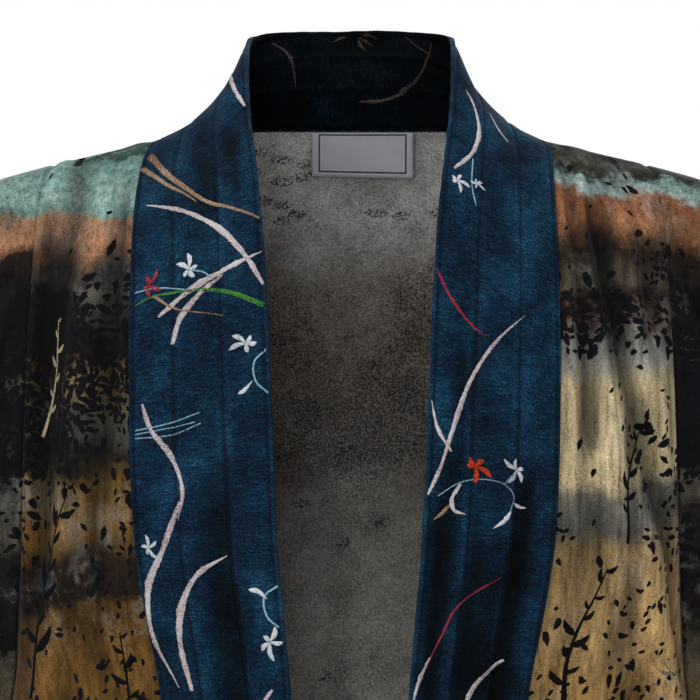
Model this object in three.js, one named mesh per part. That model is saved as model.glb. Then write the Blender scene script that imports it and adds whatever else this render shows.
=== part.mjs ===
// A long kimono dress of velvet, standing open in front as if it were worn, with nobody in it.
//
// The frame: millimetres, +X to the viewer's right, -Y to the front and +Z up. Left and right in the names are the
// wearer's, so left is +X. The origin is midway between the shoulders, where they carry the dress.
//
// Every piece of cloth is a grid of points on its outer face and a second grid inside it. Neighbours share the points
// and the wall's direction along their seam, and each is trimmed back by half of the seam gap.

import * as THREE from "three";

// Driving dimensions
const VELVET_WALL = 2; // one layer of velvet with its pile
const BAND_WALL = 4; // the neck band is doubled over an interlining
const LABEL_WALL = 1;
const SEAM_GAP = 0.3;
const HEM_DROP = 1245;
const CHANNELS = 3; // stitched channels along the neck band
const CHANNEL_PUFF = 0.9; // how far a channel stands over its stitched lines
const NECK_HOLLOW = 11; // how far the band's middle is sunk where it stands up round the neck
const FRONT_CROWN = 3; // how far its middle stands out down the fronts
const SEAM_SWAY = 4; // the band's seam lies this much further out on the right, and further in on the left
const LABEL_WIDTH = 81;
const LABEL_HEIGHT = 34.5;
const LABEL_OFF_CENTRE = 10;
const LABEL_CLEARANCE = 0.5;

// How finely the cloth is divided
const NECK_STEPS = 9; // centre back to the shoulder, along the neck seam
const BACK_SIDE_STEPS = 6; // shoulder point of the neck to the side, across the back
const FRONT_STEPS = 12; // neck band to the side, across a front
const ROWS_PER_SECTION = 2; // down the body
const BAND_STEPS_PER_CHANNEL = 2;
const SLEEVE_STEPS = 11;

const MOST_MITRE = 1.8; // how much a wall may thicken along a sharp seam

// The neck, from the centre back to the shoulder: the seam of the neck band and its free edge
const NECK = [
  { seam: [0, 72, 16.5], free: [0, 117, 97.5] },
  { seam: [40, 70, 16.5], free: [37, 113, 97] },
  { seam: [78, 60, 16], free: [67, 96, 94.5] },
  { seam: [112, 41, 13], free: [79.5, 68, 91] },
  { seam: [138, 18, 8.5], free: [81.5, 38, 83] },
];

// The body, from the shoulder ridge down to the hem. Band is the seam of the neck band on a front, free is the
// band's free edge, fore and aft are the armhole and then the side seam, nape is the line down the back from the end
// of the shoulder at the neck, and spine is the centre back. Turn is how far the cloth has turned, in degrees, from
// facing the viewer to facing sideways where it reaches the side.
const SECTIONS = [
  { band: [152, 0, 5], free: [81, 14, 71], fore: [231, 0, -13.5], aft: [231, 0, -13.5], nape: [152, 0, 5], spine: [0, 72, 16.5], turn: 0 },
  { band: [157, -20, -4], free: [80, -12, 51], fore: [235, -18, -19], aft: [235, 19, -19], nape: [157, 22, -3], spine: [0, 80, 4], turn: 4 },
  { band: [160, -46, -28], free: [77.5, -40, 22], fore: [239, -36, -38], aft: [239, 39, -38], nape: [161, 47, -20], spine: [0, 88, -14], turn: 8 },
  { band: [162, -67, -63], free: [71, -68, -17], fore: [242, -50, -68], aft: [242, 56, -68], nape: [163, 68, -50], spine: [0, 96, -45], turn: 12 },
  { band: [163, -81.5, -104], free: [66, -93, -69], fore: [244.5, -60, -107], aft: [245, 68, -107], nape: [164, 83, -92], spine: [0, 102, -88], turn: 16 },
  { band: [163.5, -91.5, -151], free: [62.5, -112, -127], fore: [247, -66, -154], aft: [248, 76, -154], nape: [165, 92, -142], spine: [0, 106.5, -139], turn: 21 },
  { band: [163, -98.5, -203], free: [59.5, -124.5, -189], fore: [249, -67, -206], aft: [250, 79, -206], nape: [165.5, 97.5, -197], spine: [0, 109.5, -195], turn: 26 },
  { band: [161.5, -103.5, -259], free: [57, -132, -252], fore: [251, -64, -262], aft: [252, 76, -262], nape: [166, 100, -256], spine: [0, 111, -255], turn: 33 },
  { band: [157.5, -105, -314], free: [54, -135, -312], fore: [253, -54, -318], aft: [254, 66, -318], nape: [167, 100.5, -314], spine: [0, 111, -314], turn: 44 },
  { band: [149, -100.5, -366], free: [49, -135, -366], fore: [256, -38, -370], aft: [257, 47, -370], nape: [168, 100, -369], spine: [0, 110.5, -368], turn: 60 },
  { band: [141, -90.5, -410], free: [45.5, -133.5, -410], fore: [260, -19, -413], aft: [260, 24, -413], nape: [169, 99, -412], spine: [0, 110, -411], turn: 78 },
  { band: [137.5, -88.5, -442], free: [43.5, -133, -442], fore: [265, 0, -442], aft: [265, 0, -442], nape: [169.5, 98.5, -442], spine: [0, 110, -442], turn: 90 },
  { band: [133.5, -93, -525], free: [38.5, -134, -525], fore: [272, 0, -525], aft: [272, 0, -525], nape: [173, 98, -525], spine: [0, 111, -525], turn: 90 },
  { band: [133, -99, -650], free: [33, -135, -650], fore: [277, 0, -650], aft: [277, 0, -650], nape: [177, 101, -650], spine: [0, 115, -650], turn: 90 },
  { band: [134, -103, -820], free: [30, -135, -820], fore: [282, 0, -820], aft: [282, 0, -820], nape: [181, 104, -820], spine: [0, 118, -820], turn: 90 },
  { band: [135, -106, -1020], free: [30, -135, -1020], fore: [286, 0, -1020], aft: [286, 0, -1020], nape: [185, 107, -1020], spine: [0, 120, -1020], turn: 90 },
  { band: [136, -108, -HEM_DROP], free: [31, -136, -HEM_DROP], fore: [291, 0, -HEM_DROP], aft: [291, 0, -HEM_DROP], nape: [190, 110, -HEM_DROP], spine: [0, 122, -HEM_DROP], turn: 90 },
];
const UNDERARM = 11; // the section at which the armhole closes

// A sleeve, from the armhole to the cuff: its top and bottom lines in X and Z, half of its depth where the arm would
// be and where the cloth hangs, and how far it leans to the front
const SLEEVE = [
  { top: [231, -13.5], bottom: [265, -442], arm: 74, hang: 62, lean: -5 },
  { top: [252, -19], bottom: [281, -449], arm: 73, hang: 57, lean: -4 },
  { top: [274, -25.5], bottom: [300, -458], arm: 72, hang: 52, lean: -2 },
  { top: [304, -38], bottom: [327, -471], arm: 70, hang: 46, lean: 1 },
  { top: [340, -60], bottom: [359, -489], arm: 68, hang: 41, lean: 2 },
  { top: [380, -91], bottom: [394, -510], arm: 66, hang: 37, lean: 1 },
  { top: [422, -128], bottom: [429, -533], arm: 64, hang: 33, lean: -2 },
  { top: [465, -166], bottom: [461, -556], arm: 62, hang: 30, lean: -6 },
  { top: [506, -203], bottom: [491, -580], arm: 60, hang: 28, lean: -10 },
];
const SLEEVE_ROUNDNESS = 2.5; // exponent of a sleeve's section, 2 being an ellipse
const ARMHOLE_EASE = 3; // sleeve sections over which the armhole's own shape is lost

// The folds. From and to are heights under the origin, start and end say where the fold lies across the piece at
// each of them, and half is its half width. A fold with a positive height is a ridge, and one with a negative height
// is a trough. One that reaches the hem is at its full height there.
const HEM = HEM_DROP;
const FRONT_FOLDS = {
  left: [
    { from: 4, to: 250, start: 0.1, end: 0.3, half: 9, height: -7 },
    { from: 6, to: 330, start: 0.24, end: 0.5, half: 11, height: 8 },
    { from: 10, to: 380, start: 0.46, end: 0.66, half: 12, height: -9 },
    { from: 40, to: 520, start: 0.78, end: 0.82, half: 14, height: 9 },
    { from: 330, to: HEM, start: 0.28, end: 0.24, half: 19, height: 12 },
    { from: 300, to: HEM, start: 0.52, end: 0.49, half: 18, height: -13 },
    { from: 420, to: HEM, start: 0.74, end: 0.75, half: 20, height: 15 },
  ],
  right: [
    { from: 10, to: 300, start: 0.16, end: 0.22, half: 12, height: -7 },
    { from: 24, to: 280, start: 0.42, end: 0.52, half: 13, height: 6 },
    { from: 8, to: 420, start: 0.83, end: 0.84, half: 12, height: -10 },
    { from: 300, to: HEM, start: 0.22, end: 0.26, half: 20, height: 12 },
    { from: 350, to: HEM, start: 0.46, end: 0.5, half: 19, height: -13 },
    { from: 380, to: HEM, start: 0.7, end: 0.76, half: 20, height: 14 },
  ],
};
const BACK_FOLDS = [
  { from: 120, to: HEM, start: -0.8, end: -0.82, half: 24, height: 13 },
  { from: 90, to: HEM, start: -0.62, end: -0.64, half: 23, height: -14 },
  { from: 160, to: HEM, start: -0.42, end: -0.44, half: 25, height: 14 },
  { from: 240, to: HEM, start: -0.2, end: -0.23, half: 24, height: -12 },
  { from: 150, to: HEM, start: 0.03, end: 0, half: 27, height: 14 },
  { from: 210, to: HEM, start: 0.25, end: 0.22, half: 24, height: -12 },
  { from: 130, to: HEM, start: 0.46, end: 0.44, half: 25, height: 15 },
  { from: 80, to: HEM, start: 0.65, end: 0.65, half: 23, height: -14 },
  { from: 170, to: HEM, start: 0.82, end: 0.83, half: 24, height: 13 },
];
// On the neck band a fold's place runs from the seam, at 0, to the free edge, at 1.
const BAND_FOLDS = {
  left: [
    { from: 320, to: 1120, start: 0.5, end: 0.56, half: 13, height: -5 },
    { from: 300, to: 900, start: 0.88, end: 0.9, half: 11, height: 4 },
  ],
  right: [
    { from: 300, to: 1060, start: 0.62, end: 0.5, half: 17, height: -6 },
    { from: 420, to: 1160, start: 0.95, end: 0.92, half: 12, height: 4 },
  ],
};
// On a sleeve a fold runs along it. From and to are shares of its length, start and end are shares of its height
// under the top line, and face says on which side it lies.
const SLEEVE_FOLDS = {
  left: [
    { from: 0, to: 0.5, start: 0.14, end: 0.5, half: 17, height: -8, face: "front" },
    { from: 0.02, to: 0.75, start: 0.36, end: 0.8, half: 20, height: 9, face: "front" },
    { from: 0.1, to: 1.2, start: 0.2, end: 0.56, half: 18, height: -8, face: "front" },
    { from: 0.45, to: 1.3, start: 0.26, end: 0.34, half: 17, height: 7, face: "front" },
    { from: 0, to: 0.8, start: 0.2, end: 0.72, half: 20, height: -9, face: "back" },
    { from: 0.1, to: 1.2, start: 0.3, end: 0.7, half: 20, height: 9, face: "back" },
    { from: 0.3, to: 1.2, start: 0.2, end: 0.42, half: 18, height: -8, face: "back" },
  ],
  right: [
    { from: 0, to: 0.6, start: 0.2, end: 0.62, half: 18, height: 8, face: "front" },
    { from: 0.05, to: 0.9, start: 0.3, end: 0.82, half: 19, height: -9, face: "front" },
    { from: 0.25, to: 1.25, start: 0.2, end: 0.48, half: 18, height: 8, face: "front" },
    { from: 0, to: 0.7, start: 0.26, end: 0.7, half: 20, height: 8, face: "back" },
    { from: 0.08, to: 1.1, start: 0.16, end: 0.6, half: 19, height: -9, face: "back" },
    { from: 0.4, to: 1.3, start: 0.3, end: 0.4, half: 18, height: 7, face: "back" },
  ],
};
const FOLD_RISE = 0.35; // share of a fold's length over which it rises from nothing
const EDGE_CALM = 0.14; // share of a piece's width beside a seam that folds leave in place

const PALETTE = {
  print: { color: 0x4a3c2a, roughness: 0.85 },
  printDark: { color: 0x3a2f26, roughness: 0.85 },
  band: { color: 0x10283f, roughness: 0.75 },
  label: { color: 0xc9c7c8, roughness: 0.6 },
};

const vector = ([x, y, z]) => new THREE.Vector3(x, y, z);
const smooth = (t) => {
  const s = Math.min(1, Math.max(0, t));
  return s * s * (3 - 2 * s);
};
const mix = (a, b, t) => a + (b - a) * t;
const splineThrough = (points) => new THREE.CatmullRomCurve3(points, false, "centripetal");

// A smooth line down the body through one column of the sections
function bodyLine(column) {
  const line = splineThrough(SECTIONS.map((section) => vector(section[column])));
  return (level) => line.getPoint(level / (SECTIONS.length - 1));
}

// The armhole before or behind the arm, and the side seam under it
function armholeLine(column) {
  const line = splineThrough(SECTIONS.slice(0, UNDERARM + 1).map((section) => vector(section[column])));
  return (level) => (level <= UNDERARM ? line.getPoint(level / UNDERARM) : sideSeamAt(level));
}

// The neck band's seam or free edge in one line, from the centre back over the shoulder to the hem. Its parameter is
// negative along the neck, and from the shoulder down it is the section's number.
function bandLine(neckColumn, bodyColumn) {
  const neck = NECK.map((row) => vector(row[neckColumn]));
  const line = splineThrough([...neck, ...SECTIONS.map((section) => vector(section[bodyColumn]))]);
  return (level) => line.getPoint((level + NECK.length) / (NECK.length + SECTIONS.length - 1));
}

const sideSeamAt = bodyLine("aft");
const seamAt = bandLine("seam", "band");
const freeEdgeAt = bandLine("free", "free");
const foreAt = armholeLine("fore");
const aftAt = armholeLine("aft");
const napeAt = bodyLine("nape");
const spineAt = bodyLine("spine");

// The neck band's seam down one front, before it is mirrored to its side
function frontSeamAt(level, side) {
  const seam = seamAt(level);
  return seam.setX(seam.x - side * SEAM_SWAY * smooth(level / 3));
}

function turnAt(level) {
  const below = Math.min(SECTIONS.length - 2, Math.floor(level));
  return THREE.MathUtils.degToRad(mix(SECTIONS[below].turn, SECTIONS[below + 1].turn, level - below));
}

// The heights at which the body has a row of points, as section numbers
const LEVELS = Array.from({ length: ROWS_PER_SECTION * (SECTIONS.length - 1) + 1 }, (_, i) => i / ROWS_PER_SECTION);
const NECK_LEVELS = Array.from({ length: NECK_STEPS }, (_, i) => -NECK.length * (1 - i / NECK_STEPS));

// How high a fold stands at a place on the cloth, by its share of the way along the fold and its distance from the
// fold's middle line
function foldHeight(fold, along, distance, runsOut) {
  if (along <= 0 || (along >= 1 && !runsOut)) return 0;
  const rise = smooth(along / FOLD_RISE);
  const fall = runsOut ? 1 : smooth((1 - along) / FOLD_RISE);
  return fold.height * rise * fall * Math.exp(-((distance / fold.half) ** 2));
}

function bodyFolds(folds, across, width, drop) {
  return folds.reduce((sum, fold) => {
    const along = (drop - fold.from) / (fold.to - fold.from);
    const middle = mix(fold.start, fold.end, Math.min(1, along));
    return sum + foldHeight(fold, along, (across - middle) * width, fold.to >= HEM);
  }, 0);
}

// The direction of the wall at each point of a grid, square to the cloth. The grid may be closed round a tube.
function normalsOf(grid, closed, side) {
  const rows = grid.length;
  const columns = grid[0].length;
  return grid.map((row, i) =>
    row.map((_, j) => {
      const down = grid[Math.min(rows - 1, i + 1)][j].clone().sub(grid[Math.max(0, i - 1)][j]);
      const before = closed ? (j - 1 + columns) % columns : Math.max(0, j - 1);
      const after = closed ? (j + 1) % columns : Math.min(columns - 1, j + 1);
      const over = row[after].clone().sub(row[before]);
      return down.cross(over).multiplyScalar(side).normalize();
    }),
  );
}

// Moves each point of a grid along the wall's direction by the height that the folds have there
function raise(grid, normals, heightAt) {
  return grid.map((row, i) => row.map((point, j) => point.clone().addScaledVector(normals[i][j], heightAt(i, j))));
}

// A front, from the neck band's seam to the armhole and the side seam. Side is 1 on the left and -1 on the right.
function frontGrid(side, folds) {
  const base = LEVELS.map((level) => {
    const seam = frontSeamAt(level, side);
    const edge = foreAt(level);
    const reach = edge.clone().sub(seam);
    const fromBand = seam.clone().sub(freeEdgeAt(level)).normalize().multiplyScalar(reach.length());
    const leaving = reach.clone().lerp(fromBand, smooth(level / 4)).multiplyScalar(0.36);
    const turn = turnAt(level);
    const arriving = new THREE.Vector3(Math.cos(turn), Math.sin(turn), 0).multiplyScalar(0.36 * reach.length());
    const curve = new THREE.CubicBezierCurve3(seam, seam.clone().add(leaving), edge.clone().sub(arriving), edge);
    if (level === 0) return Array.from({ length: FRONT_STEPS + 1 }, (_, j) => seam.clone().lerp(edge, j / FRONT_STEPS));
    return Array.from({ length: FRONT_STEPS + 1 }, (_, j) => curve.getPoint(j / FRONT_STEPS));
  });
  const heightAt = (i, j) => {
    const across = j / FRONT_STEPS;
    const calm = smooth(across / EDGE_CALM) * smooth((1 - across) / EDGE_CALM);
    const width = base[i][FRONT_STEPS].distanceTo(base[i][0]);
    return calm * bodyFolds(folds, across, width, -base[i][j].z);
  };
  return mirrored(raise(base, normalsOf(base, false, 1), heightAt), side);
}

// Half of the back, from the centre to the armhole and the side seam, on the left
function backHalf(level) {
  const steps = NECK_STEPS + BACK_SIDE_STEPS;
  const lineAcross = (at) => {
    const nape = napeAt(at);
    const edge = aftAt(at);
    const turn = turnAt(at);
    const onward = new THREE.Vector3(Math.cos(turn), -Math.sin(turn), 0).multiplyScalar(edge.distanceTo(nape));
    const mirror = nape.clone().setX(-nape.x);
    const curve = splineThrough([mirror, spineAt(at), nape, edge, edge.clone().add(onward)]);
    return (j) => curve.getPoint(j <= NECK_STEPS ? mix(0.25, 0.5, j / NECK_STEPS) : mix(0.5, 0.75, (j - NECK_STEPS) / BACK_SIDE_STEPS));
  };
  const own = lineAcross(level);
  const topBase = lineAcross(0);
  const corner = seamAt(0);
  const hold = (1 - smooth(level / 4)) ** 2;
  return Array.from({ length: steps + 1 }, (_, j) => {
    const neck = j < NECK_STEPS ? seamAt(NECK_LEVELS[j]) : corner.clone().lerp(aftAt(0), (j - NECK_STEPS) / BACK_SIDE_STEPS);
    return own(j).addScaledVector(neck.sub(topBase(j)), hold);
  });
}

// The whole back in one piece, from the right side to the left
function backGrid() {
  const base = LEVELS.map((level) => {
    const left = backHalf(level);
    const right = left.slice(1).map((point) => point.clone().setX(-point.x));
    return [...right.reverse(), ...left];
  });
  const half = NECK_STEPS + BACK_SIDE_STEPS;
  const heightAt = (i, j) => {
    const across = (j - half) / half;
    const width = base[i][2 * half].x;
    const calm = smooth((1 - Math.abs(across)) / EDGE_CALM);
    return calm * bodyFolds(BACK_FOLDS, base[i][j].x / width, width, -base[i][j].z);
  };
  return raise(base, normalsOf(base, false, -1), heightAt);
}

// Half of the neck band, from the centre back to the hem. It stands up at the neck and rolls outwards there, and its
// stitched channels stand a little over the stitched lines.
function bandGrid(side, folds) {
  const steps = CHANNELS * BAND_STEPS_PER_CHANNEL;
  const levels = [...NECK_LEVELS, ...LEVELS];
  const base = levels.map((level) => {
    const seam = frontSeamAt(level, side);
    const free = freeEdgeAt(level);
    return Array.from({ length: steps + 1 }, (_, j) => seam.clone().lerp(free, j / steps));
  });
  const normals = normalsOf(base, false, -1);
  normals[0].forEach((normal) => normal.setX(0).normalize());
  const heightAt = (i, j) => {
    const across = j / steps;
    const bow = mix(-NECK_HOLLOW, FRONT_CROWN, smooth((levels[i] + 0.5) / 4));
    const crown = bow * Math.sin(Math.PI * across ** 0.8);
    const puff = CHANNEL_PUFF * Math.abs(Math.sin(Math.PI * CHANNELS * across));
    const width = base[i][steps].distanceTo(base[i][0]);
    const calm = smooth(across / EDGE_CALM);
    return crown + puff + calm * bodyFolds(folds, across, width, -base[i][j].z);
  };
  return mirrored(raise(base, normals, heightAt), side);
}

// The rows of the armhole, from the ridge of the shoulder to the underarm
const ARMHOLE_LEVELS = LEVELS.filter((level) => level <= UNDERARM);

// One sleeve as a tube of rings. A ring starts on top, runs down its front face and comes back up behind.
function sleeveGrid(side, folds) {
  const rings = SLEEVE.length - 1;
  const column = (name, index) => splineThrough(SLEEVE.map((row) => new THREE.Vector3(row[name][0], 0, row[name][1])));
  const top = column("top");
  const bottom = column("bottom");
  const amount = (name, along) => {
    const place = along * rings;
    const below = Math.min(rings - 1, Math.floor(place));
    return mix(SLEEVE[below][name], SLEEVE[below + 1][name], place - below);
  };
  const shoulder = foreAt(0);
  const height = shoulder.z - foreAt(UNDERARM).z;
  const places = [
    ...ARMHOLE_LEVELS.map((level) => ({ edge: foreAt(level), face: "front" })),
    ...ARMHOLE_LEVELS.slice(1, -1)
      .reverse()
      .map((level) => ({ edge: aftAt(level), face: "back" })),
  ].map((place) => ({ ...place, down: (shoulder.z - place.edge.z) / height }));
  const ringPoint = (along, { down, face }) => {
    const point = top.getPoint(along).lerp(bottom.getPoint(along), down);
    const round = (1 - Math.abs(2 * down - 1) ** SLEEVE_ROUNDNESS) ** (1 / SLEEVE_ROUNDNESS);
    const depth = mix(amount("arm", along), amount("hang", along), down) * round;
    return point.setY(amount("lean", along) * round + (face === "front" ? -depth : depth));
  };
  const base = Array.from({ length: SLEEVE_STEPS + 1 }, (_, i) => {
    const along = i / SLEEVE_STEPS;
    const hold = 1 - smooth((along * rings) / ARMHOLE_EASE);
    return places.map((place) => {
      const own = ringPoint(along, place);
      return own.addScaledVector(place.edge.clone().sub(ringPoint(0, place)), hold);
    });
  });
  const heightAt = (i, j) => {
    const along = i / SLEEVE_STEPS;
    const { down, face } = places[j];
    const tall = top.getPoint(along).distanceTo(bottom.getPoint(along));
    const calm = smooth(along / EDGE_CALM) * smooth(down / EDGE_CALM) * smooth((1 - down) / EDGE_CALM);
    return folds
      .filter((fold) => fold.face === face)
      .reduce((sum, fold) => {
        const share = (along - fold.from) / (fold.to - fold.from);
        const middle = mix(fold.start, fold.end, share);
        return sum + calm * foldHeight(fold, share, (down - middle) * tall, fold.to > 1);
      }, 0);
  };
  return mirrored(raise(base, normalsOf(base, true, -1), heightAt), side);
}

function mirrored(grid, side) {
  return grid.map((row) => row.map((point) => point.clone().setX(side * point.x)));
}

// Gives two pieces one wall direction along their seam. Each list holds the places [row, column] along it.
function shareWall(first, firstPlaces, second, secondPlaces) {
  firstPlaces.forEach(([i, j], k) => {
    const [m, n] = secondPlaces[k];
    const own = first.normals[i][j].clone();
    const shared = own.clone().add(second.normals[m][n]).normalize();
    const mitre = Math.min(MOST_MITRE, 1 / Math.max(0.1, shared.dot(own)));
    first.normals[i][j] = shared.clone().multiplyScalar(mitre);
    second.normals[m][n] = shared.clone().multiplyScalar(mitre);
  });
}

// Moves the points of a grid's outer rows and columns towards their inner neighbours by half of the seam gap
function trimmed(grid, closed) {
  const rows = grid.length;
  const columns = grid[0].length;
  return grid.map((row, i) =>
    row.map((point, j) => {
      const moved = point.clone();
      const towards = (other) => moved.addScaledVector(other.clone().sub(point).normalize(), SEAM_GAP / 2);
      if (i === 0) towards(grid[1][j]);
      if (i === rows - 1) towards(grid[rows - 2][j]);
      if (!closed && j === 0) towards(row[1]);
      if (!closed && j === columns - 1) towards(row[columns - 2]);
      return moved;
    }),
  );
}

// A closed wall between a grid of outer points and the same grid moved inwards
function wall({ grid, normals, closed = false, thickness }) {
  const outer = trimmed(grid, closed);
  const inner = outer.map((row, i) => row.map((point, j) => point.clone().addScaledVector(normals[i][j], -thickness)));
  const rows = grid.length;
  const columns = grid[0].length;
  const points = [...outer.flat(), ...inner.flat()];
  const positions = points.flatMap((point) => point.toArray());
  const at = (layer, i, j) => layer * rows * columns + i * columns + (j % columns);
  const faces = [];
  const quad = (a, b, c, d) => {
    const turned = points[b].distanceTo(points[d]) < points[a].distanceTo(points[c]) - 0.01;
    faces.push(...(turned ? [a, b, d, b, c, d] : [a, b, c, a, c, d]));
  };
  const spans = closed ? columns : columns - 1;
  for (let i = 0; i < rows - 1; i += 1) {
    for (let j = 0; j < spans; j += 1) {
      quad(at(0, i, j), at(0, i + 1, j), at(0, i + 1, j + 1), at(0, i, j + 1));
      quad(at(1, i, j), at(1, i, j + 1), at(1, i + 1, j + 1), at(1, i + 1, j));
    }
  }
  for (let j = 0; j < spans; j += 1) {
    quad(at(0, 0, j), at(0, 0, j + 1), at(1, 0, j + 1), at(1, 0, j));
    quad(at(0, rows - 1, j), at(1, rows - 1, j), at(1, rows - 1, j + 1), at(0, rows - 1, j + 1));
  }
  for (let i = 0; i < rows - 1 && !closed; i += 1) {
    quad(at(0, i, 0), at(1, i, 0), at(1, i + 1, 0), at(0, i + 1, 0));
    quad(at(0, i, columns - 1), at(0, i + 1, columns - 1), at(1, i + 1, columns - 1), at(1, i, columns - 1));
  }
  if (enclosedVolume(positions, faces) < 0) faces.reverse();
  const geometry = new THREE.BufferGeometry();
  geometry.setAttribute("position", new THREE.Float32BufferAttribute(positions, 3));
  geometry.setIndex(faces);
  return geometry;
}

function enclosedVolume(positions, faces) {
  const corner = (k) => new THREE.Vector3().fromArray(positions, 3 * faces[k]);
  let volume = 0;
  for (let k = 0; k < faces.length; k += 3) volume += corner(k).dot(corner(k + 1).cross(corner(k + 2))) / 6;
  return volume;
}

// The label hangs from the neck seam inside the back, and its lower edge stands a little off the cloth.
function labelGrid(back) {
  const columns = 8;
  const rows = 3;
  const seam = back[0].slice(NECK_STEPS + BACK_SIDE_STEPS);
  const seamPoint = (x) => {
    const next = seam.findIndex((point) => point.x > Math.abs(x));
    const [a, b] = [seam[next - 1], seam[next]];
    return a.clone().lerp(b, (Math.abs(x) - a.x) / (b.x - a.x));
  };
  return Array.from({ length: rows + 1 }, (_, i) =>
    Array.from({ length: columns + 1 }, (_, j) => {
      const x = LABEL_OFF_CENTRE + (j / columns - 0.5) * LABEL_WIDTH;
      const drop = (i / rows) * LABEL_HEIGHT;
      const point = seamPoint(x);
      const out = VELVET_WALL + LABEL_WALL + LABEL_CLEARANCE;
      return new THREE.Vector3(x, point.y - out + 0.16 * drop, point.z - 1.5 - drop);
    }),
  );
}

function buildPieces() {
  const piece = (grid, thickness, sideSign, closed = false) => ({
    grid,
    thickness,
    closed,
    normals: normalsOf(grid, closed, sideSign),
  });
  const back = piece(backGrid(), VELVET_WALL, -1);
  const pieces = { back };
  const rows = LEVELS.length;
  const lastRow = rows - 1;
  const middle = NECK_STEPS + BACK_SIDE_STEPS;
  for (const [name, side] of Object.entries({ left: 1, right: -1 })) {
    const front = piece(frontGrid(side, FRONT_FOLDS[name]), VELVET_WALL, side);
    const band = piece(bandGrid(side, BAND_FOLDS[name]), BAND_WALL, -side);
    const sleeve = piece(sleeveGrid(side, SLEEVE_FOLDS[name]), VELVET_WALL, -side, true);
    const edgeColumn = middle + side * middle;
    const bodyRows = LEVELS.map((_, i) => i);

    // The ridge of the shoulder: both pieces have the direction square to it
    const ridge = foreAt(0).sub(seamAt(0));
    const upright = new THREE.Vector3(-ridge.z * side, 0, ridge.x).normalize();
    for (let j = 0; j <= FRONT_STEPS; j += 1) front.normals[0][j] = upright.clone();
    for (let j = 0; j <= BACK_SIDE_STEPS; j += 1) back.normals[0][middle + side * (NECK_STEPS + j)] = upright.clone();

    // The neck band on the back of the neck and down the front
    const alongNeck = NECK_LEVELS.map((_, i) => i);
    shareWall(band, alongNeck.map((i) => [i, 0]), back, alongNeck.map((i) => [0, middle + side * i]));
    shareWall(band, bodyRows.slice(1).map((i) => [NECK_STEPS + i, 0]), front, bodyRows.slice(1).map((i) => [i, 0]));
    const corner = middle + side * NECK_STEPS;
    const cornerWall = front.normals[0][0].clone().add(band.normals[NECK_STEPS][0]).add(back.normals[0][corner - side]);
    cornerWall.normalize();
    front.normals[0][0] = cornerWall.clone();
    band.normals[NECK_STEPS][0] = cornerWall.clone();
    back.normals[0][corner] = cornerWall.clone();

    // The side seam under the arm
    const under = bodyRows.filter((i) => LEVELS[i] > UNDERARM);
    shareWall(front, under.map((i) => [i, FRONT_STEPS]), back, under.map((i) => [i, edgeColumn]));

    // The armhole, front and back, with its top and bottom in common
    const ring = ARMHOLE_LEVELS.length;
    const tube = 2 * (ring - 1);
    for (let i = 1; i < ring - 1; i += 1) {
      shareWall(sleeve, [[0, i]], front, [[i, FRONT_STEPS]]);
      shareWall(sleeve, [[0, tube - i]], back, [[i, edgeColumn]]);
    }
    for (const [i, j] of [[0, 0], [ring - 1, ring - 1]]) {
      shareWall(sleeve, [[0, j]], front, [[i, FRONT_STEPS]]);
      back.normals[i][edgeColumn] = front.normals[i][FRONT_STEPS].clone();
    }
    Object.assign(pieces, {
      [`front_${name}`]: front,
      [`neck_band_${name}`]: band,
      [`sleeve_${name}`]: sleeve,
    });
  }

  // The halves of the neck band meet at the centre back
  const across = pieces.neck_band_left.grid[0].map((_, j) => [0, j]);
  shareWall(pieces.neck_band_left, across, pieces.neck_band_right, across);
  pieces.label = piece(labelGrid(back.grid), LABEL_WALL, -1);
  return pieces;
}

const FINISH = { back: "print", front: "print", sleeve: "printDark", neck: "band", label: "label" };

function dress() {
  const group = new THREE.Group();
  for (const [name, piece] of Object.entries(buildPieces())) {
    const { color, roughness } = PALETTE[FINISH[name.split("_")[0]]];
    const mesh = new THREE.Mesh(wall(piece), new THREE.MeshStandardMaterial({ color, roughness, metalness: 0 }));
    mesh.name = name;
    group.add(mesh);
  }
  return group;
}

export default dress();
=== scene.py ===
"""A long velvet kimono dress, standing open in front as if it were worn, with nobody in it.

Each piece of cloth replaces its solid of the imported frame. It is a fine grid on the same lines as the
solid, with its folds, seams and stitched channels, and its printed motifs lie on it as thin shapes.
Sizes are in millimetres where nothing else is said. Left and right are the wearer's, so left is +X.
"""

from __future__ import annotations

import logging
import math
from collections.abc import Callable, Sequence
from dataclasses import dataclass, field, replace
from enum import Enum
from functools import partial

import bmesh
import bpy
import numpy as np
from bpy.types import ID, Material, Mesh, Node, NodeSocket, NodeTree, Object
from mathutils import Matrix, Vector

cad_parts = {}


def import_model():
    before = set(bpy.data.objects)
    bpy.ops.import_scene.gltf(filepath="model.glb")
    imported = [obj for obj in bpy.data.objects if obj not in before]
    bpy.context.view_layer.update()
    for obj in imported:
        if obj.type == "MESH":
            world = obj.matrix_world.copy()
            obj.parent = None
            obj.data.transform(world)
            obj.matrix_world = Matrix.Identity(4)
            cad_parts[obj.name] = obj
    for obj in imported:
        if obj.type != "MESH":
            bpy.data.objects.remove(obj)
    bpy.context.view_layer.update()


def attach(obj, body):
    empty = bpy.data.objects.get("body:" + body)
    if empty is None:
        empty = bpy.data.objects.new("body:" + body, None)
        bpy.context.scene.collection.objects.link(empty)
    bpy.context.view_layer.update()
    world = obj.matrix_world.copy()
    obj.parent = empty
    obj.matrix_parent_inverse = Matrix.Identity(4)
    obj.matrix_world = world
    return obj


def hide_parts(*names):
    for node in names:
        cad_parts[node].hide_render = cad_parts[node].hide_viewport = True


Feed = Node | NodeSocket
AddNode = Callable[..., Node]
LOG = logging.getLogger("kimono_dress")
MM = 0.001
BODY = "root"
FILM = 0.3
HEM_DROP = 1245.0
UNDERARM = 11
NECK_ROWS = 5


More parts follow.
